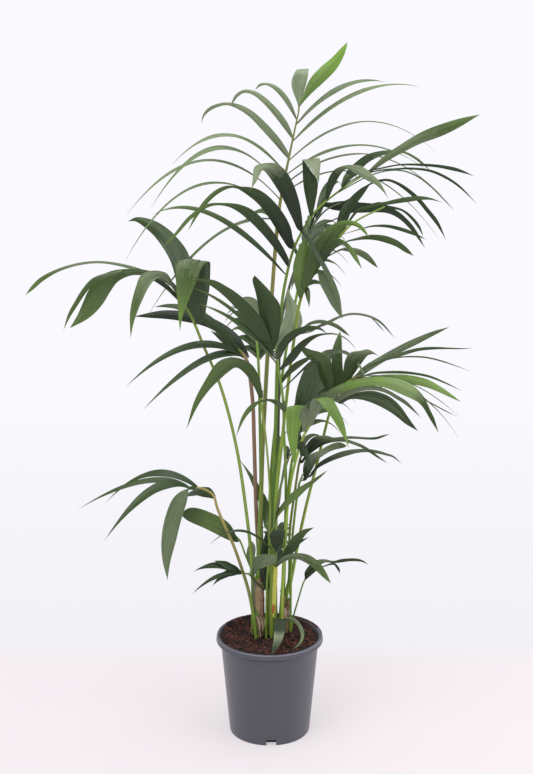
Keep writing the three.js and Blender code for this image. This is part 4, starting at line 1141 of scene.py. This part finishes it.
def pot_paint():
    """Moulded plastic: matt blue-grey, a little cloudy, with fine scuffs, a painted shadow line under the
    rim and a painted highlight along its roll.
    """
    color = POT_COLOR
    paint = Paint("pot_plastic", color, 0.36, Specular_IOR_Level=0.5)
    cloud = paint.noise(9, 4, paint.place((1, 1, 0.35)))
    scuffs = paint.noise(60, 5, paint.place((1, 1, 6)), 0.7)
    once = paint.tint(paint.span(cloud, 0, 0.5), scaled(color, 1.16))
    twice = paint.tint(paint.span(scuffs, 0, 0.3, 0.6, 0.75), SCUFF, once)
    height = paint.node("SeparateXYZ")
    paint.links.new(paint.place(), height.inputs[0])
    below_rim = (POT["height"] - POT["rim_height"]) * MM
    # A painted shadow line under the rim and a painted highlight on its roll, as darker and lighter bands.
    for tone, low, high in RIM_SHADOW_AND_HIGHLIGHT:
        rise = paint.span(height.outputs["Z"], 0, 0.85, below_rim + low * MM, below_rim + (low + 0.8) * MM)
        fall = paint.span(height.outputs["Z"], 1, 0, below_rim + high * MM, below_rim + (high + 0.5) * MM)
        band = paint.node("Math", operation="MULTIPLY")
        paint.links.new(rise, band.inputs[0])
        paint.links.new(fall, band.inputs[1])
        twice = paint.tint(band.outputs[0], scaled(color, tone), twice)
    paint.rough(paint.span(cloud, 0.32, 0.42))
    paint.relief(paint.noise(900, 2), 0.12, 0.0004)
    return paint.material


FOLIAGE = {"edge": 0, "tip": 1, "stalk": 2}
MATERIALS = [stalk_paint("leaf_edge", LEAF_EDGE), dry_paint("leaf_tip", LEAF_TIP)]
MATERIALS += [stalk_paint(f"stalk_{k}", color) for k, color in enumerate(STALKS)]
FOLIAGE["sheath"] = len(MATERIALS)
for number, color in enumerate(SHEATH_COLORS):
    MATERIALS.append((dry_paint if number < DRY_SHEATHS else stalk_paint)(f"sheath_{number}", color))
DEALT = {}


def dealt(kind, tone, pale):
    """The number of the leaf material for one shade, which is made when it is first asked for."""
    colors = GREENS if kind == "green" else UNDERSIDES
    third = int(round(min(max(tone, 0), len(colors) - 1) * 3))
    sixth = int(round(min(max(pale, 0), 1) * 6))
    key = f"leaf_{kind}_{third}_{sixth}"
    if key not in DEALT:
        at = np.arange(len(colors))
        plain = [math.exp(np.interp(third / 3, at, np.log([c[k] for c in colors]))) for k in range(3)]
        color = [a + (b - a) * sixth / 6 for a, b in zip(plain, PALE)]
        DEALT[key] = len(MATERIALS)
        rough, veins = (0.42, 0.2) if kind == "green" else (0.6, 0.12)
        MATERIALS.append(leaf_paint(key, color, rough, veins))
    return DEALT[key]


def deal(kind, tones, pales):
    """Material numbers for a grid of tones and one of shares of PALE."""
    return np.array([[dealt(kind, *both) for both in zip(*rows)] for rows in zip(tones, pales)])


def along_leaf(greens, t):
    """A leaflet's tones and shares of PALE at places along it."""
    pairs = [g if isinstance(g, tuple) else (g, 0) for g in greens]
    at = np.linspace(0, 1, len(pairs))
    return [np.interp(t, at, [p[k] for p in pairs]) for k in (0, 1)]


def folded(t, plain, gain):
    """How deeply a leaflet is folded along its length: sharply at its root, and a little more at its tip."""
    return plain + ROOT_FOLD * np.exp(-t / ROOT_FOLD_REACH) + gain * t


def outline(share, power):
    """A leaflet's width along its length, as a share of the widest: a pinched root and a long point."""
    waist = ROOT_WIDTH + (1 - ROOT_WIDTH) * np.sin(np.pi / 2 * np.clip(share / WIDEST_AT, 0, 1)) ** 0.8
    point = np.cos(np.pi / 2 * np.clip((share - WIDEST_AT) / (1 - WIDEST_AT), 0, 1)) ** power
    return np.where(share < WIDEST_AT, waist, point)


def seen(u, v, y):
    """The point that the photograph shows at a pixel, at a depth y."""
    pitch = math.radians(CAMERA["pitch"])
    place = np.array(CAMERA["place"], float)
    right = (u - CAMERA["centre"][0]) / CAMERA["focal_px"]
    up = (CAMERA["centre"][1] - v) / CAMERA["focal_px"]
    ray = np.array((right, math.cos(pitch) + up * math.sin(pitch), up * math.cos(pitch) - math.sin(pitch)))
    return place + ray * (y - place[1]) / ray[1]


def blade(maker, centre, across, top, half, length, form, colors, random):
    """A thin leaf from its midline, its width and the way that it faces: folded, pleated and wavy."""
    greens, under = colors
    dry, dry_share = form["dry"]
    rows = len(centre) - 1
    columns = BROAD_CUTS[1] if half.max() * 2 >= BROAD else NARROW_CUTS[1]
    t = np.linspace(0, 1, rows + 1)
    u = np.linspace(-1, 1, columns + 1)
    fold = folded(t, *form["fold"])
    wide = half / half.max()
    size = 2 * half.max()
    dip = half[:, None] * fold[:, None] * (np.sqrt(u**2 + KEEL) - math.sqrt(KEEL))
    pleat = PLEAT * size * np.outer(wide, np.cos(5 * np.pi * np.abs(u)) * (np.abs(u) < 0.95))
    wave = WAVE * size * np.outer(np.sin(2 * np.pi * (t * random.uniform(1.5, 3) + random.random())), u**3)
    lift = pleat + wave * wide[:, None] - dip
    aside = across[:, None] * (half[:, None] * u)[..., None]
    upper = centre[:, None] + aside + top[:, None] * lift[..., None]
    thickness = BLADE_THICKNESS * (0.4 + 0.6 * np.outer(wide**0.5, 1 - 0.6 * np.abs(u)))
    thickness[:, columns // 2] += MIDRIB * wide
    lower = upper - top[:, None] * thickness[..., None]
    streak = random.uniform(-STREAK, STREAK, columns)
    # Tones along a leaflet are partly its own colour and partly painted light and shade; PALE mixed in is
    # painted sheen.
    tone, pale = along_leaf(greens, ease(t[:-1]) if len(greens) == 2 else t[:-1])
    tone = tone + random.uniform(-CHANCE, CHANCE)
    sheen_spread = random.uniform(-SHEEN_SPREAD, SHEEN_SPREAD, columns)
    shades = deal("green", tone[:, None] + streak[None], pale[:, None] + sheen_spread * (pale[:, None] > 0.04))
    if under is None:
        under_tone, under_pale = (tone - 0.5) / 1.7, pale
    else:
        under_tone, under_pale = along_leaf(under, t[:-1])
    under_pale = under_pale[:, None] + sheen_spread * (under_pale[:, None] > 0.04)
    below = deal("under", under_tone[:, None] + 0.7 * streak[None], under_pale)
    edge = np.full(rows, FOLIAGE["edge"])
    if random.random() < dry:
        dead = t[:-1] > 1 - dry_share
        shades[dead] = FOLIAGE["tip"]
        edge[dead] = FOLIAGE["tip"]
    maker.shell(upper, lower, shades, below, edge, (u + 1) / 2, t * length * MM * 10)


def leaflet(maker, root, row, turn, greens, random):
    """One leaflet by the source's rule: an arc from the rib, rolled a little and swaying."""
    _, right, back, rise, arch, width = row[:6]
    own = row[6] if len(row) > 6 else {}
    rows = (BROAD_CUTS if width >= BROAD else NARROW_CUTS)[0]
    t = np.linspace(0, 1, rows + 1)
    reach = np.array((right, back, rise), float)
    side = unit(np.cross((right, back, 0), UP))
    control = root + own.get("crest", 0.5) * reach + 2 * arch * UP
    centre = root + np.outer(2 * t * (1 - t), control - root) + np.outer(t**2, reach)
    along = unit(np.outer(1 - t, control - root) + np.outer(t, root + reach - control))
    over = unit(np.cross(side, along))
    roll = math.radians(own.get("turn", turn) * (1 if right < 0 else -1))
    swing = math.radians(random.uniform(*SWAY))
    sway = roll + swing * np.sin(t * random.uniform(2, 4) + random.uniform(0, 6))
    across = side * np.cos(sway)[:, None] + over * np.sin(sway)[:, None]
    top = -np.cross(along, across)
    half = width / 2 * outline(t, 0.85 if width >= BROAD else 1.15)
    blade(maker, centre, across, top, half, np.linalg.norm(reach), RULED, (greens, None), random)


def drawn_leaflet(maker, root, leaf, random):
    """One leaflet between two edges drawn over the photograph, from its root on the rib to its tip."""
    _, side, greens, depths, stations = leaf[:5]
    colors = (greens, leaf[5] if len(leaf) > 5 else None)
    y = np.interp(np.linspace(0, 1, len(stations) + 1), np.linspace(0, 1, len(depths)), depths)
    left = [seen(*station[:2], depth) for station, depth in zip(stations, y[1:])]
    right = [seen(*station[-2:], depth) for station, depth in zip(stations, y[1:])]
    if root is not None:
        left.insert(0, root - (1.2, 0, 0))
        right.insert(0, root + (1.2, 0, 0))
        if np.linalg.norm(left[1] - right[0]) < np.linalg.norm(right[1] - right[0]) * 0.3:
            left[0], right[0] = right[0], left[0]
    left, right = Curve(left, True).points, Curve(right, True).points
    middle = (left + right) / 2
    length = stretch_length(middle)
    rows = BROAD_CUTS[0] + DRAWN_CUTS
    at = np.linspace(0, length[-1], rows + 1)
    left, right = [np.stack([np.interp(at, length, e[:, k]) for k in range(3)], -1) for e in (left, right)]
    centre = (left + right) / 2
    along = unit(np.gradient(centre, axis=0))
    for _ in range(2):
        along[1:-1] = unit(along[:-2] + 2 * along[1:-1] + along[2:])
    across = right - left
    half = np.maximum(np.linalg.norm(across, axis=1) / 2, 0.15)
    across = unit(across)
    across[-1] = across[-2]
    top = unit(np.cross(across, along)) * side
    for _ in range(3):
        top[1:-1] = unit(top[:-2] + 2 * top[1:-1] + top[2:])
    blade(maker, centre, across, top, half, length[-1], TRACED, colors, random)


def drawn_sheath(maker, sheath, random):
    """A papery strip between two edges drawn over the photograph, bowed towards the eye and frayed."""
    color, depths, bulge, stations = sheath
    y = np.interp(np.linspace(0, 1, len(stations)), np.linspace(0, 1, len(depths)), depths)
    left = Curve([seen(*station[:2], depth) for station, depth in zip(stations, y)], True)
    right = Curve([seen(*station[2:], depth) for station, depth in zip(stations, y)], True)
    rows, columns = SHEATH_CUTS
    t, u = np.linspace(0, 1, rows + 1), np.linspace(-1, 1, columns + 1)
    left, right = left.at(t), right.at(t)
    middle, half = (left + right) / 2, (right - left) / 2 * random.uniform(0.86, 1.08, (rows + 1, 1))
    bow = bulge * (1 - u**2)[None] + 0.25 * np.sin(7 * u[None] + 5 * t[:, None])
    outer = middle[:, None] + half[:, None] * u[None, :, None] - np.array((0, 1, 0)) * bow[..., None]
    inner = outer + np.array((0, 0.6, 0))
    length = np.linalg.norm(middle[-1] - middle[0])
    slot = FOLIAGE["sheath"] + color
    maker.shell(outer, inner, slot, slot, np.full(rows, slot), (u + 1) / 2, t * length)


def feather(frond):
    """Rows of leaflets for a frond behind: pairs along its rib, longest in the middle."""
    f = FEATHER
    pairs = 2 * frond["pairs"]
    start, end = np.array(frond["stalk"][-1], float), np.array(frond["rib"][-1], float)
    forward = unit((end - start) * (1, 1, 0))
    sideways = np.array((forward[1], -forward[0], 0))
    rows = []
    for i in range(pairs):
        place = (i + 0.6) / pairs
        length = frond["reach"] * (f["ends"] + f["swell"] * math.sin(math.pi * place))
        ahead = f["sweep"] + f["sweep_gain"] * place
        rise = length * (f["rise"] - f["droop"] * (1 - place))
        for hand in (-1, 1):
            tip = length * unit(hand * sideways + ahead * forward)
            slip = f["slip"] if hand > 0 else 0
            rows.append((place - slip, tip[0], tip[1], rise, f["arch"] * length, f["slim"] * frond["width"]))
    return rows


def frond_curve(frond):
    """A frond's curve from a little below its foot, with the shares where its foot and its blade start."""
    foot, above = np.array(frond["stalk"][0], float), np.array(frond["stalk"][1], float)
    below = foot - SUNK * unit(above - foot)
    curve = Curve([below, *frond["stalk"], *frond["rib"]])
    return curve, curve.share_of(1), curve.share_of(len(frond["stalk"]))


def stalk_slots(tones):
    """Material numbers for places in STALKS."""
    return np.clip(np.round(tones), 0, len(STALKS) - 1).astype(int) + FOLIAGE["stalk"]


def graded(first, last, stretches, sides, random):
    """Material numbers that go from one to another along a limb, in streaks."""
    tone = first + (last - first) * np.linspace(0, 1, stretches)
    streak = random.uniform(-0.45, 0.45, sides)
    return stalk_slots(tone[:, None] + streak[None])


def petiole(angle):
    """A stalk's section: round in front, with a shallow channel along its back."""
    return 1 - 0.16 * np.exp(-((np.sin(angle) + 1) ** 2) / 0.08) + 0.02 * np.cos(3 * angle)


def build_frond(name, frond, random):
    curve, foot, split = frond_curve(frond)
    steps = max(8, int(curve.length * split / 14))
    share = np.linspace(foot * 0.2, split, steps + 1)
    radii = np.interp(share, (0, split), frond["radii"][:2])
    tones = frond.get("tones", PLAIN_TONES)
    stalk = Maker()
    slots = graded(tones[0], tones[1], steps, STALK_SIDES, random)
    stalk.tube(curve.at(share), radii, STALK_SIDES, slots, petiole)
    for sheath in SHEATHS.get(name, ()):
        drawn_sheath(stalk, sheath, random)
    piece(stalk.mesh(f"{name}_petiole", MATERIALS), "stalk", f"{name}_stalk")

    leaves = Maker()
    steps = max(6, int(curve.length * (1 - split) / 8))
    share = np.linspace(split, 1, steps + 1)
    radii = np.interp(share, (split, 1), frond["radii"][1:])
    slots = graded(tones[1], tones[2], steps, RIB_SIDES, random)
    leaves.tube(curve.at(share), radii, RIB_SIDES, slots, petiole)
    start = split + SEAT / 2 / curve.length

    def root_at(place):
        return curve.at(start + (1 - start) * min(0.98, max(0.03, place)))

    for row in feather(frond) if "pairs" in frond else frond.get("leaflets", ()):
        leaflet(leaves, root_at(row[0]), row, frond.get("turn", PLAIN_TURN), frond["greens"], random)
    for leaf in DRAWN.get(name, ()):
        drawn_leaflet(leaves, None if leaf[0] is None else root_at(leaf[0]), leaf, random)
    piece(leaves.mesh(f"{name}_blade", MATERIALS), "leaf", f"{name}_frond")


def build_stems(random):
    """Short stems in old sheaths: a fibrous core with torn sheaths round it."""
    for name, stem in STEMS.items():
        maker = Maker()
        foot, top = np.array(stem["foot"] + (SOIL["crown"] - 6,), float), np.array(stem["top"], float)
        steps = 24
        share = np.linspace(0, 1, steps + 1)
        centres = foot + np.outer(share, top - foot)
        radii = np.interp(share, (0, 1), stem["radii"]) * 0.86
        maker.tube(centres, radii, STEM_SIDES, graded(*stem["tones"], steps, STEM_SIDES, random))
        for wrap in stem["wraps"]:
            build_wrap(maker, foot, top, stem["radii"], wrap, random)
        for k in range(stem["fibres"]):
            build_fibre(maker, foot, stem["radii"][0], random)
        for sheath in SHEATHS.get(name, ()):
            drawn_sheath(maker, sheath, random)
        piece(maker.mesh(f"{name}_sheaths", MATERIALS), "sheath", name)


def build_wrap(maker, foot, top, radii, wrap, random):
    """One old sheath: a curved strip round the stem, between two heights, torn to points at its top."""
    turn, spread, low, high, tone, stand = wrap
    rows, columns = 26, 18
    t = np.linspace(0, 1, rows + 1)
    u = np.linspace(-1, 1, columns + 1)
    ragged = random.uniform(0, 0.12, columns + 1) + 0.3 * u**2
    height = low + (high - low) * (1 - np.outer(t, ragged)) * t[:, None]
    taper = 1 - 0.35 * t**3
    angle = math.radians(turn) + math.radians(spread) / 2 * u[None] * taper[:, None]
    centres = foot + height[..., None] * (top - foot)
    radius = np.interp(height, (0, 1), radii) * 0.9 + stand * (0.4 + 0.6 * t[:, None] ** 2)
    radius = radius + 0.5 * np.sin(9 * u)[None]
    outward = np.stack([np.cos(angle), np.sin(angle), np.zeros_like(angle)], -1)
    outer = centres + outward * radius[..., None]
    inner = outer - outward * 0.7
    slots = np.broadcast_to(stalk_slots(tone + random.uniform(-0.6, 0.6, columns)), (rows, columns))
    maker.shell(outer, inner, slots, slots, slots[:, 0], (u + 1) / 2, t)


def build_fibre(maker, foot, radius, random):
    """A stray fibre at a stem's foot, which springs off it and curls down to the soil."""
    angle = random.uniform(0, 2 * math.pi)
    away = np.array((math.cos(angle), math.sin(angle), 0))
    start = foot + away * radius + UP * random.uniform(8, 60)
    end = foot + away * radius * random.uniform(1.2, 2.1) + UP * random.uniform(7, 30)
    middle = (start + end) / 2 + away * random.uniform(2, 7) + UP * random.uniform(-4, 8)
    t = np.linspace(0, 1, 9)[:, None]
    centres = start * (1 - t) ** 2 + middle * 2 * t * (1 - t) + end * t**2
    maker.tube(centres, random.uniform(0.25, 0.5), 5, FOLIAGE["tip"], front=(0.3, -0.8, 0.5))


def pot_profile():
    """The pot's section as (radius, height): a raised base, a plain wall and a rolled rim."""
    foot, neck, rim, wall = [POT[key] for key in ("foot_radius", "neck_radius", "rim_radius", "wall")]
    top, base, floor = [POT[key] for key in ("height", "base", "floor")]
    shelf = top - POT["rim_height"]
    lean = (neck - foot) / shelf
    roll = [(rim - 4.2 + 3 * math.cos(a), top - 3 + 3 * math.sin(a)) for a in np.linspace(0.1, 2.2, 8)]
    return [
        (0, base), (foot - 5, base), (foot - 3, base - 1.5), (foot - 2.6, 0.6), (foot - 1.9, 0),
        (foot - 0.7, 0.1), (foot - 0.1, 0.9), (foot + lean * 3, 3), (neck - lean * 2, shelf - 2),
        (neck + 0.4, shelf - 0.4), (rim - 1.5, shelf), (rim - 0.4, shelf + 0.4), (rim, shelf + 1.5),
        (rim - 0.5, shelf + 5), *roll, (rim - 7.2, top - 1.2), (rim - 9.2, top - 4),
        (neck - wall + 0.7, top - 9), (neck - wall, shelf), (foot - wall, floor), (0, floor),
    ]


def lathe(maker, profile, sides):
    """A closed turned body whose section starts and ends on the axis."""
    angle = np.linspace(0, 2 * np.pi, sides, endpoint=False)
    rings = profile[1:-1]
    points = [(r * math.cos(a), r * math.sin(a), z) for r, z in rings for a in angle]
    points += [(0, 0, profile[0][1]), (0, 0, profile[-1][1])]
    maker.add(points, ring_quads(len(rings), sides), 0)


def cut_away(made, tools):
    """Cuts the tool objects out of a mesh, and removes them."""
    for tool in tools:
        cut = made.modifiers.new("cut", "BOOLEAN")
        cut.operation = "DIFFERENCE"
        cut.solver = "EXACT"
        cut.material_mode = "TRANSFER"
        cut.object = tool
    graph = bpy.context.evaluated_depsgraph_get()
    mesh = bpy.data.meshes.new_from_object(made.evaluated_get(graph))
    made.modifiers.clear()
    made.data = mesh
    mesh.shade_smooth()
    mesh.set_sharp_from_angle(angle=math.radians(40))
    for tool in tools:
        bpy.data.objects.remove(tool)


def build_pot():
    maker = Maker()
    lathe(maker, pot_profile(), POT_SIDES)
    # The notch tools carry the near-black painted shade onto the faces that they cut.
    plastic = [pot_paint(), crumb_paint("notch_shade", NOTCH_SHADE)]
    made = maker.mesh("pot_tub", plastic, 40)
    tools = []
    for k in range(POT["notches"]):
        angle = math.radians(POT["first_notch"] + 360 * k / POT["notches"])
        outward = np.array((math.cos(angle), math.sin(angle), 0))
        sideways = np.array((-outward[1], outward[0], 0))
        box = Maker()
        corners = [
            outward * (POT["foot_radius"] + x) + sideways * y + UP * z
            for x in NOTCH_DEPTHS
            for y in (-POT["notch_width"] / 2, POT["notch_width"] / 2)
            for z in (-5, POT["notch_height"])
        ]
        box.add(corners, BOX_FACES, 1)
        tools.append(box.mesh(f"notch_{k}", plastic))
    cut_away(made, tools)
    piece(made, "pot", "pot")


def soil_height(x, y):
    """The filling's surface: heaped against the rim at the back left, fallen away at the right."""
    r = np.hypot(x, y)
    angle = np.arctan2(y, x)
    s = SOIL
    edge = s["edge"] + s["rise"] + s["lean"] * np.cos(angle - s["lean_turn"])
    edge = edge - s["dip"] * np.exp(-((angle - s["dip_turn"]) / s["dip_width"]) ** 2)
    heap = s["crown"] + (edge - s["crown"]) * ease((r - s["flat_radius"]) / s["slope"])
    lumps = np.sin(x * 0.13 + 1.3) * np.sin(y * 0.11 + 0.4) * 1.6 + np.sin(x * 0.31 + y * 0.23) * 0.9
    return heap + lumps


def build_soil(random):
    maker = Maker()
    rim_foot = POT["height"] - POT["rim_height"]
    inner = POT["neck_radius"] - POT["wall"] - SOIL["gap"]
    foot = POT["foot_radius"] - POT["wall"] - SOIL["gap"]
    radius = np.concatenate([[foot, foot + (inner - foot) * 0.5], np.linspace(inner, 1.2, SOIL["rings"])])
    angle = np.linspace(0, 2 * np.pi, SOIL["sides"], endpoint=False)
    x, y = np.outer(radius, np.cos(angle)), np.outer(radius, np.sin(angle))
    z = soil_height(x, y) + random.uniform(-SOIL["grain"], SOIL["grain"], x.shape)
    outside = ease((radius[:, None] - SOIL["bulge_from"]) / (inner - SOIL["bulge_from"]))
    spread = 1 + SOIL["bulge"] * np.clip(z - rim_foot, 0, 12) * outside
    spread[:2] = 1
    x, y = x * spread, y * spread
    z[0] = POT["floor"] + SOIL["gap"]
    z[1] = rim_foot / 2
    points = np.stack([x, y, z], -1).reshape(-1, 3)
    points = np.vstack([points, [(0, 0, z[0, 0]), (0, 0, SOIL["crown"])]])
    maker.add(points, ring_quads(*x.shape), 0)
    for scatter in (scatter_rim_crumbs, scatter_chips, scatter_fibres):
        scatter(maker, random, inner)
    materials = [crumb_paint(f"mix_{k}", color) for k, color in enumerate(MIX)]
    piece(maker.mesh("potting_mix", materials, 30), "soil", "soil")


def rough_box(size, random):
    """The corners of a box that has been knocked out of shape."""
    return BOX_CORNERS * (random.uniform(0.55, 1, (8, 3)) * size / 2)


def scatter_rim_crumbs(maker, random, reach):
    """Crumbs left on the far side of the rim."""
    for _ in range(RIM_CRUMBS["count"]):
        a = random.uniform(*RIM_CRUMBS["turns"])
        r = random.uniform(reach + 3, POT["rim_radius"] - 3.5)
        size = random.uniform(*RIM_CRUMBS["sizes"], 3)
        corners = rough_box(size, random)
        at = np.array((r * math.cos(a), r * math.sin(a), POT["height"] + size[2] * 0.2))
        maker.add(corners + at, BOX_FACES, random.integers(*RIM_CRUMBS["tones"]))


def scatter_chips(maker, random, reach):
    """Bark chips, crumbs and a few white grains over the filling, darker near the stems as painted shade
    under the plant, and in scattered patches.
    """
    for count, length, width, thick, tones in CHIPS:
        for _ in range(count):
            r = (reach + 3) * math.sqrt(random.random())
            a = random.uniform(0, 2 * math.pi)
            x, y = r * math.cos(a), r * math.sin(a)
            if r > reach - 3 + 0.5 * (soil_height(x, y) - POT["height"] + POT["rim_height"]):
                continue
            size = np.array((random.uniform(*length), random.uniform(*width), random.uniform(*thick)))
            corners = rough_box(size, random)
            heading = random.uniform(0, 2 * math.pi)
            tip, roll = random.normal(0, CHIP_TILT), random.normal(0, CHIP_TILT)
            level = math.cos(tip)
            along = np.array((math.cos(heading) * level, math.sin(heading) * level, math.sin(tip)))
            side = unit(np.cross(UP, along))
            side = side * math.cos(roll) + np.cross(along, side) * math.sin(roll)
            frame_of = np.stack([along, side, np.cross(along, side)])
            # Chips near the stems are darkened as painted shade under the plant; chips in scattered patches
            # are darkened too.
            shade_and_patches = r < 45 or math.sin(x * 0.055 + 1) * math.cos(y * 0.07 - 0.6) < -0.25
            tone = tones[random.integers(len(tones))]
            if shade_and_patches and tone in (2, 3):
                tone -= 2 if random.random() < 0.5 else 1
            at = np.array((x, y, soil_height(x, y) + size[2] * random.uniform(0.1, 0.7)))
            maker.add(corners @ frame_of + at, BOX_FACES, tone)


def scatter_fibres(maker, random, reach):
    """Loose fibres that lie curled on the filling."""
    for _ in range(LOOSE_FIBRES["count"]):
        r = (reach - 8) * math.sqrt(random.random())
        a, heading = random.uniform(0, 2 * math.pi, 2)
        length = random.uniform(*LOOSE_FIBRES["lengths"])
        bend = random.uniform(-LOOSE_FIBRES["bend"], LOOSE_FIBRES["bend"]) * length
        t = np.linspace(-0.5, 0.5, 7)
        x = r * math.cos(a) + length * t * math.cos(heading) - bend * t**2 * math.sin(heading)
        y = r * math.sin(a) + length * t * math.sin(heading) + bend * t**2 * math.cos(heading)
        z = soil_height(x, y) + random.uniform(0.8, 1.6) + random.uniform(0, 3) * np.cos(np.pi * t)
        radius = random.uniform(*LOOSE_FIBRES["radii"])
        tone = random.integers(*LOOSE_FIBRES["tones"])
        maker.tube(np.stack([x, y, z], -1), radius, 4, tone, front=(0, 0, 1))


def build_stage():
    """A pale floor that runs into a near-white backdrop, soft light from above and both sides."""
    size = FLOOR["size"]
    mesh = bpy.data.meshes.new("floor")
    corners = [(-size, -size, 0), (size, -size, 0), (size, size, 0), (-size, size, 0)]
    mesh.from_pydata(corners, [], [(0, 1, 2, 3)])
    floor = bpy.data.objects.new("floor", mesh)
    bpy.context.scene.collection.objects.link(floor)
    paint = Paint("floor_paint", FLOOR["color"], 0.7, Specular_IOR_Level=0.1)
    paint.tint(paint.span(paint.noise(5, 4), 0, 0.35), FLOOR["stain"])
    mesh.materials.append(paint.material)
    where = paint.node("SeparateXYZ")
    paint.links.new(paint.place(), where.inputs[0])
    behind = paint.span(where.outputs["Y"], 0, 1, *FLOOR["ends"])
    lit = paint.node("Emission", Color=(*FLOOR["lit"], 1), Strength=1.0)
    shared = paint.node("MixShader", Fac=FLOOR["share"])
    paint.links.new(paint.shader.outputs[0], shared.inputs[1])
    paint.links.new(lit.outputs[0], shared.inputs[2])
    glow = paint.node("Emission", Color=(*FLOOR["backdrop"], 1), Strength=1.0)
    brighter = paint.span(where.outputs["Y"], 0.93, 1.0, FLOOR["ends"][1], 3)
    paint.links.new(brighter, glow.inputs["Strength"])
    mix = paint.node("MixShader")
    paint.links.new(behind, mix.inputs[0])
    paint.links.new(shared.outputs[0], mix.inputs[1])
    paint.links.new(glow.outputs[0], mix.inputs[2])
    paint.links.new(mix.outputs[0], paint.nodes["Material Output"].inputs["Surface"])

    world = bpy.data.worlds.new("studio")
    world.use_nodes = True
    nodes, links = world.node_tree.nodes, world.node_tree.links
    background = nodes["Background"]
    background.inputs["Color"].default_value = (*FLOOR["backdrop"], 1)
    kinds = ("TexCoord", "SeparateXYZ", "MapRange")
    toward, height, fade = [nodes.new("ShaderNode" + kind) for kind in kinds]
    links.new(toward.outputs["Generated"], height.inputs[0])
    links.new(height.outputs["Z"], fade.inputs["Value"])
    set_range(fade, 0.03, 0.3, FLOOR["horizon"], FLOOR["sky"])
    links.new(fade.outputs["Result"], background.inputs["Strength"])
    bpy.context.scene.world = world
    for name, place, aim, size, power in LAMPS:
        light = bpy.data.lights.new(name, "AREA")
        light.shape = "DISK"
        light.size = size
        light.energy = power
        lamp = bpy.data.objects.new(name, light)
        lamp.location = place
        lamp.rotation_euler = (Vector(aim) - Vector(place)).to_track_quat("-Z", "Y").to_euler()
        bpy.context.scene.collection.objects.link(lamp)
    bpy.context.scene.view_settings.view_transform = "Standard"


def build_camera():
    data = bpy.data.cameras.new("camera")
    data.sensor_fit = "VERTICAL"
    data.sensor_height = 36
    data.lens = 36 * CAMERA["focal_px"] / CAMERA["image_px"]
    camera = bpy.data.objects.new("camera", data)
    camera.location = to_metres(CAMERA["place"])
    camera.rotation_euler = (math.radians(90 - CAMERA["pitch"]), 0, 0)
    bpy.context.scene.collection.objects.link(camera)
    bpy.context.scene.camera = camera


build_camera()
build_pot()
build_soil(np.random.default_rng(SEED))
build_stems(np.random.default_rng(SEED + 1))
for number, (name, frond) in enumerate({**FRONDS, **BACK_FRONDS}.items()):
    build_frond(name, frond, np.random.default_rng(SEED + 10 + number))
build_stage()
